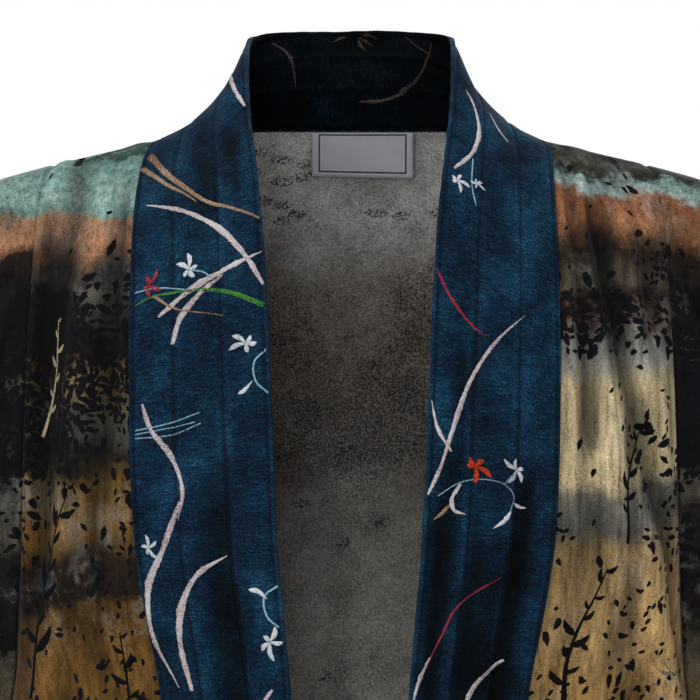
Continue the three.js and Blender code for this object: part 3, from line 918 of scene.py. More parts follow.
@dataclass(frozen=True)
class PrintedVelvet:
    """Silk velvet, screen printed in broad soft bands of mist and earth colours with drifts of leaves.

    Attributes:
        name: The material's name.
        bands: The bands' edges, as drops under the shoulder in millimetres, with their colours.
        leaves: How thick the printed leaves are, as drops with amounts.
        drift: Where the pattern is cut from its cloth, in metres.
        wander: How far the bands' edges rise and fall, in millimetres.
        repeat: How far down the bands start again.
        surface: The pile.
    """

    name: str
    bands: tuple[tuple[float, str], ...]
    leaves: tuple[tuple[float, float], ...]
    drift: tuple[float, float, float]
    wander: float
    repeat: float = 640.0
    surface: VelvetSurface = field(default_factory=VelvetSurface)

    def make(self) -> Material:
        """Builds the material.

        Returns:
            The new material.
        """
        material, add = new_material(self.name)
        here = add("TexCoord").outputs["Object"]
        where = add("Mapping", {"Vector": here, "Location": self.drift})
        split = add("SeparateXYZ", [here])
        # The bands' edges wander like hills in mist: a slow drift, then a torn edge
        wander = add("TexNoise", {"Vector": where, "Scale": 4.2, "Detail": 2.0})
        sway = self.wander * MM
        torn = add("TexNoise", {"Vector": where, "Scale": 34.0, "Detail": 7.0, "Roughness": 0.7})
        slow = add("Math", [wander, sway, -sway / 2], operation="MULTIPLY_ADD")
        edge = add("Math", [torn, 0.05, slow], operation="MULTIPLY_ADD")
        drop = add("Math", [edge, split.outputs["Z"]], operation="SUBTRACT")
        lowered = add("Math", [drop, 0.025], operation="SUBTRACT")
        share = add("Math", [lowered, self.repeat * MM], operation="DIVIDE")
        wrapped = add("Math", [share], operation="FRACT")
        ramp = add("ValToRGB", {"Fac": wrapped})
        set_ramp(ramp, [(place / self.repeat, colour) for place, colour in self.bands])
        # Pale bloom where the ink is thin
        bloom = add("TexNoise", {"Vector": where, "Scale": 17.0, "Detail": 7.0, "Roughness": 0.75})
        thin = add("MapRange", [bloom, 0.52, 0.68, 0.0, 0.45])
        bloomed = add("Mix", {0: thin, 6: ramp, 7: linear("#87837A")}, data_type="RGBA")
        # Dark drifts with torn edges, and leaves that thin out round them
        thick = add("ValToRGB", {"Fac": wrapped})
        set_ramp(thick, [(place / self.repeat, amount) for place, amount in self.leaves])
        drifts = add("TexNoise", {"Vector": where, "Scale": 9.0, "Detail": 6.0, "Roughness": 0.6})
        heart = add("Math", [thick, 0.34, drifts], operation="MULTIPLY_ADD")
        rough = add("Math", [torn, 0.3, heart], operation="MULTIPLY_ADD")
        mask = add("MapRange", [rough, 0.83, 0.93, 0.0, 0.92])
        flat = add("VectorMath", [spread_flat(add, here), (self.drift[0], 0.0, 0.0)], operation="ADD")
        covered = mask
        for foliage in PRINTED_LEAVES:
            leaf = foliage.mask(add, flat, self.leaves, self.repeat)
            covered = add("Math", [covered, leaf], operation="MAXIMUM")
        inked = add("Mix", {0: covered, 6: bloomed.outputs[2], 7: linear("#07070A")}, data_type="RGBA")
        # The pile's speckle and its streaks down the cloth
        nap = add("Mapping", {"Vector": where, "Scale": (1.0, 1.0, 0.1)})
        streak = add("TexNoise", {"Vector": nap, "Scale": 240.0, "Detail": 3.0})
        speckle = add("TexNoise", {"Vector": where, "Scale": 760.0, "Detail": 2.0, "Roughness": 0.8})
        both = add("Math", [streak, 0.8, speckle], operation="MULTIPLY_ADD")
        light = add("MapRange", [both, 0.62, 1.18, 0.3, 1.75])
        tone = add("VectorMath", {0: inked.outputs[2], "Scale": light}, operation="SCALE")
        self.surface.shade(add, tone, here)
        return material


@dataclass(frozen=True)
class WrongSide:
    """The flat back of the velvet, where the print shows only as dim grey blotches in a matt weave.

    Attributes:
        name: The material's name.
        bands: The tones, as drops under the shoulder in millimetres with their colours.
        blots: How thick the small blots are, as drops with amounts.
        masses: How far the ink of the print's dark drifts comes through, as drops with amounts.
        reach: How far down the tones go.
    """

    name: str = "velvet wrong side"
    # Greys of the print's bleed, made lighter lower down: painted light where the dress's inside is in
    # shade
    bands: tuple[tuple[float, str], ...] = (
        (0, "#93938F"), (64, "#868582"), (96, "#716C65"), (150, "#635C55"), (250, "#625D58"),
        (300, "#74716C"), (400, "#86847E"), (640, "#8C8983"),
    )
    blots: tuple[tuple[float, float], ...] = (
        (0, 0.0), (8, 0.85), (52, 0.85), (70, 0.0), (270, 0.0), (290, 0.16), (340, 0.0), (620, 0.1),
    )
    masses: tuple[tuple[float, float], ...] = (
        (0, 0.0), (78, 0.0), (110, 0.3), (150, 0.46), (240, 0.5), (285, 0.12), (330, 0.06), (420, 0.0),
        (500, 0.3), (620, 0.3),
    )
    reach: float = 640.0

    def make(self) -> Material:
        """Builds the material.

        Returns:
            The new material.
        """
        material, add = new_material(self.name)
        where = add("TexCoord").outputs["Object"]
        split = add("SeparateXYZ", [where])
        cloud = add("TexNoise", {"Vector": where, "Scale": 11.0, "Detail": 5.0, "Roughness": 0.65})
        shift = add("Math", [cloud, 0.12, -0.06], operation="MULTIPLY_ADD")
        drop = add("Math", [shift, split.outputs["Z"]], operation="SUBTRACT")
        share = add("Math", [drop, self.reach * MM], operation="DIVIDE")
        ramp = add("ValToRGB", {"Fac": share})
        set_ramp(ramp, [(place / self.reach, colour) for place, colour in self.bands])
        speckle = add("TexNoise", {"Vector": where, "Scale": 620.0, "Detail": 3.0, "Roughness": 0.8})
        blotch = add("TexNoise", {"Vector": where, "Scale": 30.0, "Detail": 6.0, "Roughness": 0.75})
        grain = add("Math", [blotch, 0.6, speckle], operation="MULTIPLY_ADD")
        light = add("MapRange", [grain, 0.6, 1.0, 0.3, 1.7])
        tone = add("VectorMath", {0: ramp, "Scale": light}, operation="SCALE")
        # The ink comes through only where the weave is open, so a blot is a patch of dark grains
        fallen = add("Math", [split.outputs["Z"], -1.0], operation="MULTIPLY")
        flat = add("CombineXYZ", {"X": split.outputs["X"], "Y": fallen})
        leaf = Foliage(64.0, 21.0, 8.0, 0.4).mask(add, flat, self.blots, self.reach)
        mass = add("ValToRGB", {"Fac": share})
        set_ramp(mass, [(place / self.reach, amount) for place, amount in self.masses])
        swell = add("Math", [mass, 0.6, cloud], operation="MULTIPLY_ADD")
        drift = add("MapRange", [swell, 0.6, 0.82, 0.0, 0.8])
        both = add("Math", [leaf, drift], operation="MAXIMUM")
        open_weave = add("MapRange", [speckle, 0.44, 0.54, 1.0, 0.0])
        ink = add("Math", [both, open_weave], operation="MULTIPLY")
        tone = add("Mix", {0: ink, 6: tone, 7: linear("#14151C")}, data_type="RGBA")
        bump = add("Bump", {"Height": speckle, "Strength": 0.4, "Distance": 0.0002})
        shader = add(
            "BsdfPrincipled",
            {"Roughness": 0.95, "Specular IOR Level": 0.12, "Base Color": tone.outputs[2], "Normal": bump},
        )
        add("OutputMaterial", {"Surface": shader})
        return material


@dataclass(frozen=True)
class PlainVelvet:
    """Dyed or printed velvet in a few tones that its pile mixes, from closed to open.

    Attributes:
        name: The material's name.
        tones: The tones, from the deepest to the lightest.
        crosswise: Whether the pile lies in fine rows across the piece. The map is then in metres of
            cloth.
        speckle: How far the speckle has to rise for a new tone, where less is harder.
        surface: The pile.
    """

    name: str
    tones: tuple[str, ...]
    crosswise: bool = False
    speckle: float = 0.33
    surface: VelvetSurface = field(default_factory=VelvetSurface)

    def make(self) -> Material:
        """Builds the material.

        Returns:
            The new material.
        """
        material, add = new_material(self.name)
        coordinates = add("TexCoord")
        where = coordinates.outputs["Object"]
        speckle = add("TexNoise", {"Vector": where, "Scale": 820.0, "Detail": 2.0, "Roughness": 0.8})
        cloud = add("TexNoise", {"Vector": where, "Scale": 26.0, "Detail": 4.0, "Roughness": 0.6})
        total = add("Math", [cloud, 0.7, speckle], operation="MULTIPLY_ADD")
        middle = 0.85
        if self.crosswise:
            # Rows about 1.5 mm apart and 10 mm long, a little coarser than the real ones so that they show
            lie = add("Mapping", {"Vector": coordinates.outputs["UV"], "Scale": (0.15, 1.0, 1.0)})
            rows = add("TexNoise", {"Vector": lie, "Scale": 620.0, "Detail": 2.0, "Roughness": 0.7})
            total = add("Math", [rows, 0.5, total], operation="MULTIPLY_ADD")
            middle += 0.25
        share = add("MapRange", [total, middle - self.speckle, middle + self.speckle])
        ramp = add("ValToRGB", {"Fac": share})
        set_ramp(ramp, [(number / (len(self.tones) - 1), tone) for number, tone in enumerate(self.tones)])
        self.surface.shade(add, ramp.outputs["Color"], where)
        return material


@dataclass(frozen=True)
class SatinWeave:
    """Smooth woven polyester satin of a sewn-in label, its threads two thirds of a millimetre apart."""

    name: str
    colour: str

    def make(self) -> Material:
        """Builds the material.

        Returns:
            The new material.
        """
        material, add = new_material(self.name)
        where = add("TexCoord").outputs["Object"]
        weft = add("TexWave", {"Vector": where, "Scale": 480.0, "Distortion": 0.6}, bands_direction="Z")
        cloud = add("TexNoise", {"Vector": where, "Scale": 60.0, "Detail": 4.0})
        light = add("MapRange", [cloud, 0.3, 0.7, 0.92, 1.05])
        tone = add("VectorMath", {0: linear(self.colour)[:3], "Scale": light}, operation="SCALE")
        bump = add("Bump", {"Height": weft.outputs["Fac"], "Strength": 0.3, "Distance": 0.00015})
        shader = add(
            "BsdfPrincipled",
            {"Roughness": 0.6, "Specular IOR Level": 0.3, "Base Color": tone, "Normal": bump},
        )
        add("OutputMaterial", {"Surface": shader})
        return material


EVENING_BANDS = (
    (0, "#4C655E"), (8, "#617C75"), (18, "#66807A"), (40, "#7A938B"), (50, "#5F7A72"), (58, "#86654B"),
    (78, "#8A6146"), (90, "#57402E"), (100, "#2B2723"), (112, "#413F3A"), (132, "#262421"),
    (150, "#171411"), (176, "#57452A"), (206, "#47473F"), (226, "#12100E"), (248, "#5A4420"),
    (290, "#6A4E25"), (304, "#4A3516"), (312, "#1F150E"), (346, "#18110C"), (356, "#473315"),
    (410, "#5F441D"), (446, "#463113"), (470, "#17120F"), (520, "#101012"), (545, "#4C4B46"),
    (590, "#6C634B"), (606, "#32261D"), (622, "#16231E"), (634, "#2C3F39"),
)
EVENING_LEAVES = (
    (0, 0.02), (70, 0.0), (100, 0.25), (150, 0.8), (240, 0.75), (270, 0.16), (310, 0.2), (350, 0.06),
    (410, 0.06), (480, 0.6), (560, 0.2), (620, 0.1),
)
# The morning bands made darker for the sleeves: partly dark print, partly painted shade at the sides
SLEEVE_PRINT_AND_SHADE_BANDS = (
    (0, "#191B14"), (14, "#24261C"), (27, "#1E1D16"), (31, "#6A807A"), (38, "#83958F"), (43, "#73472F"),
    (66, "#7A5439"), (78, "#44301F"), (90, "#1A120E"), (150, "#100B0A"), (176, "#4A4640"), (194, "#14100E"),
    (262, "#0D0B0B"), (284, "#47433B"), (300, "#181411"), (380, "#100E0D"), (410, "#57503F"),
    (450, "#6A5430"), (470, "#17120F"), (530, "#4C655E"), (560, "#2B2119"), (600, "#101B17"),
    (634, "#1A2822"),
)
MORNING_BANDS = (
    (0, "#191B14"), (14, "#2A2C21"), (27, "#1E1D16"), (31, "#6A807A"), (38, "#83958F"), (43, "#73472F"),
    (66, "#7A5439"), (78, "#44301F"), (90, "#1A120E"), (116, "#3D372C"), (126, "#150E0B"), (150, "#2B1813"),
    (164, "#4A4844"), (186, "#77776F"), (204, "#9B8C6C"), (262, "#A29370"), (276, "#57544B"),
    (300, "#474540"), (318, "#7B6543"), (380, "#8E744B"), (440, "#7D5F34"), (462, "#241A14"),
    (510, "#130F10"), (530, "#5F7A72"), (570, "#6C877F"), (598, "#443527"), (616, "#101B17"),
    (634, "#1A2822"),
)
MORNING_LEAVES = (
    (0, 0.1), (50, 0.02), (84, 0.4), (140, 0.42), (165, 0.0), (205, 0.05), (240, 0.22), (290, 0.2),
    (330, 0.04), (400, 0.04), (460, 0.3), (520, 0.1), (620, 0.1),
)

# The right sleeve: evening bands at the top, darker bands below, partly print and partly painted shade
RIGHT_SLEEVE_PRINT_AND_SHADE_BANDS = (*(b for b in EVENING_BANDS if b[0] < 90), *(b for b in SLEEVE_PRINT_AND_SHADE_BANDS if b[0] >= 90))


class Finish:
    """The dress's finishes, each made once."""

    def __init__(self) -> None:
        """Builds every material."""
        straight, shifted = (0.0, 0.0, 0.0), (3.1, 0.4, 1.7)
        self.evening, self.morning, self.dusk, self.late, self.night = (
            PrintedVelvet(f"printed silk velvet, {word} bands", bands, leaves, drift, wander).make()
            for word, bands, leaves, drift, wander in (
                ("evening", EVENING_BANDS, EVENING_LEAVES, straight, 110.0),
                ("morning", MORNING_BANDS, MORNING_LEAVES, shifted, 110.0),
                ("dusk", SLEEVE_PRINT_AND_SHADE_BANDS, EVENING_LEAVES, shifted, 110.0),
                ("late", RIGHT_SLEEVE_PRINT_AND_SHADE_BANDS, EVENING_LEAVES, straight, 110.0),
                ("night", EVENING_BANDS, EVENING_LEAVES, (1.3, 2.2, 0.9), 260.0),
            )
        )
        self.wrong_side = WrongSide().make()
        # The band's fold troughs take strong painted shade and its ridges strong painted highlight
        band_pile = VelvetSurface(
            sheen=0.07, sheen_tint="#8FA8BE", crush=0.5, trough=0.08, ridge=1.9, specular=0.08
        )
        petrol = ("#010204", "#040C15", "#081A2A", "#0D2A3F", "#183F55", "#2C5E72")
        self.band = PlainVelvet("dyed velvet, petrol blue", petrol, True, 0.33, band_pile).make()
        # A near-black copy of the band's velvet for its inside: painted shade where the band hides the neck
        dark = VelvetSurface(sheen=0.0, crush=0.5, trough=0.4, ridge=1.2, specular=0.03)
        closed = ("#000101", "#000202", "#010408", "#040E15", "#0A1F2A")
        self.band_inside_painted_shade = PlainVelvet(
            "dyed velvet, petrol blue, painted shade", closed, True, 0.33, dark
        ).make()
        printed = VelvetSurface(sheen=0.05, crush=0.5, trough=0.4, ridge=1.25, specular=0.1)
        colours = {
            Tone.PALE: ("#6E5A58", "#B5A6A6", "#CDC5C5", "#DBD6D5"),
            Tone.WHITE: ("#7B868D", "#BFC5C8", "#D6DADB", "#E6E9E9"),
            Tone.RED: ("#5A1A14", "#B0341E", "#D04A2C", "#E0684A"),
            Tone.CRIMSON: ("#200A14", "#7A2436", "#96303E", "#A84650"),
            Tone.GREEN: ("#0E2A1C", "#2E6A2C", "#3F7A34", "#6B9C4A"),
            Tone.REED: ("#3A2C24", "#80654F", "#A08268", "#BDA083"),
            Tone.TENDRIL: ("#2C4A58", "#6F94A2", "#92B5C1", "#AECBD3"),
            Tone.INK: ("#020203", "#070709", "#0D0D10"),
            Tone.SAND: ("#4A4234", "#8F8466", "#B0A480", "#C6BC9C"),
            Tone.DIM: ("#0D0B0B", "#241E1C", "#3D312B", "#56463D"),
        }
        self.tones = {
            tone: PlainVelvet(f"printed velvet, {tone.value}", shades, False, 0.2, printed).make()
            for tone, shades in colours.items()
        }
        self.label = SatinWeave("woven satin, white", "#96959A").make()
        self.border = SatinWeave("woven satin, navy line", "#23262F").make()
        thread = VelvetSurface(sheen=0.05, roughness=0.6, crush=0.1)
        self.thread = PlainVelvet(
            "polyester sewing thread, navy", ("#02060B", "#081522", "#0F2233"), False, 0.33, thread
        ).make()


def put_in_scene(name: str, data: ID) -> Object:
    """Adds an object to the scene.

    Args:
        name: Its name.
        data: Its mesh, light or camera.

    Returns:
        The object, at the origin.
    """
    made = bpy.data.objects.new(name, data)
    bpy.context.scene.collection.objects.link(made)
    return made


def grid_mesh(name: str, rows: int, columns: int) -> tuple[Mesh, np.ndarray, np.ndarray]:
    """Makes a flat grid of faces.

    Args:
        name: The mesh's name.
        rows: Its rows of points, down its Y.
        columns: Its columns of points, along its X.

    Returns:
        The mesh, and the row and the column of each of its points.
    """
    shape = bmesh.new()
    bmesh.ops.create_grid(shape, x_segments=columns - 1, y_segments=rows - 1, size=0.5, calc_uvs=False)
    shape.loops.layers.uv.new("cloth")
    for face in shape.faces:
        face.smooth = True
    mesh = bpy.data.meshes.new(name)
    shape.to_mesh(mesh)
    shape.free()
    flat = np.empty(len(mesh.vertices) * 3)
    mesh.vertices.foreach_get("co", flat)
    flat = flat.reshape(-1, 3)
    row = np.rint((0.5 - flat[:, 1]) * (rows - 1)).astype(int)
    column = np.rint((flat[:, 0] + 0.5) * (columns - 1)).astype(int)
    return mesh, row, column


def cloth_object(name: str, sheet: Sheet, materials: list[Material], thickness: float) -> Object:
    """Makes a sheet a wall of cloth.

    Args:
        name: The piece's name.
        sheet: Its outer face.
        materials: Its finish, and its inner side's where that differs.
        thickness: The wall in millimetres.

    Returns:
        The piece, at the origin.
    """
    rows, columns = sheet.points.shape[:2]
    mesh, row, column = grid_mesh(name, rows, columns)
    mesh.vertices.foreach_set("co", (sheet.points[row, column] * MM).ravel())
    corners = np.empty(len(mesh.loops), dtype=int)
    mesh.loops.foreach_get("vertex_index", corners)
    spots = np.stack([sheet.across[column[corners]], sheet.down[row[corners]]], axis=1) * MM
    mesh.uv_layers["cloth"].data.foreach_set("uv", spots.ravel())
    # The lie holds the folds' painted shade and highlight for the material
    mesh.attributes.new("lie", "FLOAT", "POINT").data.foreach_set("value", sheet.lie[row, column])
    shape = bmesh.new()
    shape.from_mesh(mesh)
    if sheet.closed:
        bmesh.ops.remove_doubles(shape, verts=shape.verts, dist=1e-6)
    if sheet.facing < 0:
        bmesh.ops.reverse_faces(shape, faces=shape.faces)
    shape.to_mesh(mesh)
    shape.free()
    for material in materials:
        mesh.materials.append(material)
    piece = put_in_scene(name, mesh)
    wall = piece.modifiers.new("wall", "SOLIDIFY")
    wall.thickness = thickness * MM
    wall.offset = -1.0
    wall.material_offset = len(materials) - 1
    return piece


class Outline(Enum):
    """How a stroke's width runs along it."""

    TWIG = "twig"
    LEAF = "leaf"
    PETAL = "petal"
    REED = "reed"
    LINE = "line"

    def widths(self, share: np.ndarray) -> np.ndarray:
        """Finds how wide a stroke is along its length.

        Args:
            share: Shares of the stroke's length.

        Returns:
            Its width at each, as a share of its fullest.
        """
        if self is Outline.LEAF:
            return np.sin(np.pi * share**0.75) ** 0.85
        if self is Outline.PETAL:
            return np.sin(np.pi * np.clip(share * 0.9 + 0.08, 0.0, 1.0) ** 1.15) ** 0.8
        if self is Outline.TWIG:
            knots = 1 + 0.14 * np.sin(share * 17.0) + 0.09 * np.sin(share * 41.0 + 1.0)
            return knots * np.interp(share, (0.0, 0.1, 0.4, 0.75, 1.0), (0.42, 0.72, 1.0, 0.72, 0.14))
        return 1.0 - 0.75 * share if self is Outline.REED else np.ones_like(share)


@dataclass(frozen=True)
class Stroke:
    """One printed brush stroke, by points across and along its piece in millimetres."""

    tone: Tone
    outline: Outline
    width: float
    path: Sequence[Sequence[float]] | np.ndarray


def brushed(tone: Tone, outline: Outline, *rows: tuple[float | tuple[float, float], ...]) -> list[Stroke]:
    """Returns strokes of one tone and outline, from rows with a width and then the path's points."""
    return [Stroke(tone, outline, width, path) for width, *path in rows]


def petals(tone: Tone, centre: Sequence[float], radius: float, turn: float, count: int = 5) -> list[Stroke]:
    """Draws a small open blossom with uneven petals.

    Args:
        tone: Its colour.
        centre: Its place across and along the piece.
        radius: Its petals' length.
        turn: The first petal's angle in degrees.
        count: The number of petals, spread over a full turn.

    Returns:
        One stroke for each petal.
    """
    strokes = []
    for number in range(count):
        angle = math.radians(turn + number * 360 / count + 13 * math.sin(number * 2.3 + turn))
        reach = radius * (0.95 + 0.4 * math.sin(number * 1.7 + turn))
        way = np.array([math.cos(angle), math.sin(angle)])
        bend = np.array([-way[1], way[0]]) * reach * 0.12
        bent = ((0.04, 0), (0.55, 1), (1.0, 0.2))
        path = np.array([np.array(centre) + way * reach * s + bend * b for s, b in bent])
        strokes.append(Stroke(tone, Outline.PETAL, radius * 0.34, path))
    return strokes


@dataclass(frozen=True)
class Spray:
    """An arching stem with leaves on both sides, printed in one colour.

    Attributes:
        tone: Its colour.
        foot: Its foot, across and along the piece in millimetres.
        tip: Its tip.
        bend: How far its middle stands to one side.
        leaves: The number of leaves.
        leaf: The length of its longest leaf.
    """

    tone: Tone
    foot: tuple[float, float]
    tip: tuple[float, float]
    bend: float
    leaves: int
    leaf: float

    def strokes(self) -> list[Stroke]:
        """Draws the spray.

        Returns:
            The stem's stroke, and then one for each leaf.
        """
        foot, tip = np.array(self.foot), np.array(self.tip)
        way = tip - foot
        length = float(np.linalg.norm(way))
        beside = np.array([-way[1], way[0]]) / length
        middle = (foot + tip) / 2 + beside * self.bend
        line = spline(np.array([(*foot, 0.0), (*middle, 0.0), (*tip, 0.0)]), np.linspace(0, 2, 41))[:, :2]
        strokes = [Stroke(self.tone, Outline.REED, 3.4, line[::8])]
        for number in range(self.leaves):
            share = 0.22 + 0.76 * number / max(1, self.leaves - 1)
            spot = line[round(share * 40)]
            ahead = unit(line[min(40, round(share * 40) + 2)] - line[max(0, round(share * 40) - 2)])
            turn = math.radians(38 + 16 * math.sin(number * 2.1)) * (1 if number % 2 else -1)
            out = np.array(
                [
                    ahead[0] * math.cos(turn) - ahead[1] * math.sin(turn),
                    ahead[0] * math.sin(turn) + ahead[1] * math.cos(turn),
                ],
            )
            size = self.leaf * (1.0 - 0.45 * share) * (0.85 + 0.25 * math.sin(number * 1.3 + length))
            curl = np.array([-out[1], out[0]]) * size * 0.1 * (1 if number % 2 else -1)
            path = np.array([spot, spot + out * size * 0.5 + curl, spot + out * size])
            strokes.append(Stroke(self.tone, Outline.LEAF, size * 0.34, path))
        return strokes


def print_object(name: str, sheet: Sheet, strokes: list[Stroke], material: Material, lift: float) -> Object:
    """Lays strokes on a sheet as thin shapes with the uneven edges of print on pile.

    Args:
        name: The piece's name.
        sheet: The cloth that they lie on.
        strokes: The strokes, all of one colour.
        material: Their finish.
        lift: How far over the cloth they lie, under it where negative.

    Returns:
        The piece, at the origin.
    """
    draw = np.random.default_rng(len(strokes))
    shape = bmesh.new()
    vertices, places = [], []
    for stroke in strokes:
        path = np.array([(x, y, 0.0) for x, y in stroke.path])
        steps = max(3, round(float(run(path)[-1]) / (1.6 if stroke.width > 2 else 2.4)))
        share = np.linspace(0.0, 1.0, steps + 1)
        line = spline(path, share * (len(path) - 1))[:, :2]
        way = unit(np.gradient(line, axis=0))
        beside = np.stack([-way[:, 1], way[:, 0]], axis=1)
        half = 0.5 * stroke.width * np.maximum(stroke.outline.widths(share), 0.05)
        uneven = 1 + (0.0 if stroke.outline is Outline.LINE else 0.16) * draw.uniform(-1, 1, (steps + 1, 2))
        made = bmesh.ops.create_grid(shape, x_segments=2, y_segments=steps, size=0.5)
        rows = np.array([round((v.co.y + 0.5) * steps) for v in made["verts"]])
        sides = np.array([2 * v.co.x for v in made["verts"]])
        ragged = np.where(sides > 0, uneven[rows, 0], uneven[rows, 1])
        vertices.extend(made["verts"])
        places.append(line[rows] + beside[rows] * (half[rows] * sides * ragged)[:, None])
    for vertex, point in zip(vertices, sheet.place(np.concatenate(places), lift) * MM):
        vertex.co = Vector(point)
    bmesh.ops.recalc_face_normals(shape, faces=shape.faces)
    for face in shape.faces:
        face.smooth = True
    mesh = bpy.data.meshes.new(name)
    shape.to_mesh(mesh)
    shape.free()
    mesh.materials.append(material)
    piece = put_in_scene(name, mesh)
    wall = piece.modifiers.new("film", "SOLIDIFY")
    wall.thickness = FILM * MM
    wall.offset = 0.0
    return piece


def print_all(name: str, sheet: Sheet, strokes: list[Stroke], finish: Finish, lift: float) -> list[Object]:
    """Lays strokes on a sheet, one piece for each colour.

    Args:
        name: The start of the pieces' names.
        sheet: The cloth that they lie on.
        strokes: The strokes, of any colours.
        finish: The dress's finishes.
        lift: How far over the cloth they lie, under it where negative.

    Returns:
        The pieces.
    """
    pieces = []
    for tone in Tone:
        chosen = [stroke for stroke in strokes if stroke.tone is tone]
        if chosen:
            pieces.append(
                print_object(f"{name}_{tone.name.lower()}", sheet, chosen, finish.tones[tone], lift)
            )
    return pieces


# One repeat of the band's motifs, by their place in the front view as X and Z in millimetres
BAND_TWIGS = {
    Side.RIGHT: (
        *brushed(
            Tone.PALE, Outline.TWIG,
            (4.0, (-81, 30), (-88, 41), (-93, 53), (-91, 65), (-84, 76)),
            (4.2, (-64, -108), (-79, -87), (-102, -64), (-132, -51), (-156, -48)),
            (5.0, (-145, -133), (-124, -115), (-96, -98), (-66, -83)),
            (5.2, (-134, -154), (-128, -134), (-113, -115), (-96, -101)),
            (4.0, (-157, -199), (-150, -218), (-135, -237), (-126, -263), (-129, -286)),
            (5.0, (-128, -272), (-141, -309), (-152, -338), (-148, -375), (-129, -413)),
            (5.2, (-119, -415), (-128, -376), (-126, -349), (-113, -325), (-92, -312)),
            (3.8, (-58, -412), (-74, -436), (-96, -448), (-121, -452)),
        ),
        *brushed(
            Tone.REED, Outline.REED,
            (5.6, (-155, -8), (-139, -24), (-113, -43), (-66, -57)),
            (4.2, (-161, -19), (-139, -32), (-117, -45)),
            (2.4, (-149, -117), (-132, -127), (-96, -132)),
            (3.6, (-132, -430), (-112, -452), (-80, -468)),
        ),
        *brushed(
            Tone.GREEN, Outline.REED,
            (3.6, (-63, -124), (-94, -114), (-120, -113), (-150, -118), (-163, -125)),
        ),
        *brushed(
            Tone.TENDRIL, Outline.LINE,
            (1.0, (-163, -115), (-143, -111), (-120, -113)),
            (1.0, (-123, -98), (-111, -99), (-103, -105)),
            (1.3, (-62, -157), (-72, -167), (-71, -181), (-61, -190)),
            (1.0, (-162, -219), (-139, -214), (-113, -205)),
            (0.9, (-162, -222), (-137, -217), (-116, -212)),
            (0.9, (-162, -225), (-134, -222), (-112, -213)),
            (1.4, (-51, -334), (-64, -342), (-62, -357), (-53, -365)),
        ),
        *brushed(
            Tone.WHITE, Outline.LEAF,
            (3.0, (-84, -191), (-79, -188), (-73, -181)),
            (4.0, (-76, -337), (-69, -338), (-62, -344)),
        ),
    ),
    Side.LEFT: (
        *brushed(
            Tone.PALE, Outline.TWIG,
            (3.8, (79, -19), (93, -8), (100, 10), (95, 34), (90, 44)),
            (1.8, (122, 2), (115, 12), (108, 26)),
            (3.6, (58, -266), (67, -248), (78, -214), (91, -181), (108, -154), (132, -132)),
            (2.6, (76, -234), (66, -218), (58, -195)),
            (3.2, (83, -258), (76, -270), (78, -278), (87, -281)),
            (3.4, (60, -388), (52, -404), (44, -424)),
            (3.8, (116, -392), (96, -408), (84, -434), (88, -462)),
        ),
        *brushed(
            Tone.TENDRIL, Outline.LINE,
            (1.2, (94, -12), (93, -34), (96, -49)),
            (0.8, (66, -267), (83, -257), (101, -255), (116, -259), (123, -268), (120, -280)),
            (1.0, (116, -259), (120, -254), (125, -249)),
            (1.3, (52, -446), (66, -440), (74, -452), (68, -466)),
        ),
        *brushed(
            Tone.CRIMSON, Outline.TWIG,
            (2.4, (64, -96), (75, -117), (90, -137), (103, -148)),
            (1.7, (113, -329), (95, -339), (79, -352), (68, -373), (59, -391), (50, -405)),
        ),
        *brushed(Tone.REED, Outline.LEAF, (3.0, (74, -274), (69, -280), (62, -285))),
        *brushed(
            Tone.WHITE, Outline.LEAF,
            (3.4, (121, -279), (116, -286), (107, -292)),
            (2.8, (123, -273), (127, -276), (133, -277)),
        ),
    ),
}
# Blossoms: colour, place in the front view, petal length and turn
BAND_BLOSSOMS = {
    Side.RIGHT: (
        (Tone.CRIMSON, (-152, -109), 9.5, 20.0),
        (Tone.WHITE, (-122, -97), 10.5, 60.0),
        (Tone.WHITE, (-78, -153), 10.5, 10.0),
        (Tone.WHITE, (-152, -307), 8.0, 40.0),
        (Tone.WHITE, (-60, -376), 11.0, 0.0),
        (Tone.RED, (-104, -470), 9.0, 50.0),
    ),
    Side.LEFT: (
        (Tone.WHITE, (82, -29), 8.5, 30.0),
        (Tone.WHITE, (97, -31), 6.0, 75.0),
        (Tone.RED, (94, -245), 11.5, 5.0),
        (Tone.WHITE, (125, -248), 9.5, 45.0),
        (Tone.WHITE, (66, -470), 9.0, 15.0),
    ),
}
# Twigs on the inside of the neck, by their place in the front view
NAPE_TWIGS = {
    Side.LEFT: (
        *brushed(Tone.DIM, Outline.TWIG, (3.6, (8, 39), (27, 40), (47, 49), (62, 68), (68, 88))),
        *brushed(Tone.DIM, Outline.REED, (1.6, (66, 74), (54, 84), (44, 93))),
        *brushed(
            Tone.DIM, Outline.LEAF,
            (3.6, (6, 92), (12, 89), (18, 84)),
            (3.0, (10, 94), (16, 94), (24, 91)),
            (3.0, (7, 91), (9, 84), (14, 78)),
        ),
    ),
    Side.RIGHT: (
        *brushed(Tone.DIM, Outline.TWIG, (2.4, (-64, 86), (-52, 78), (-46, 64), (-44, 48))),
        *brushed(Tone.DIM, Outline.LEAF, (3.4, (-3, 92), (-8, 91), (-13, 87))),
    ),
}
# The print repeats down the band, and a repeat over the first one shows only behind the shoulder
BAND_REPEAT = 560.0
BEHIND_SHOULDER = -75.0


def dressed(pieces: list[Object]) -> list[Object]:
    """Lets pieces ride on the dress's body.

    Args:
        pieces: The pieces.

    Returns:
        The same pieces.
    """
    for piece in pieces:
        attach(piece, BODY)
    return pieces


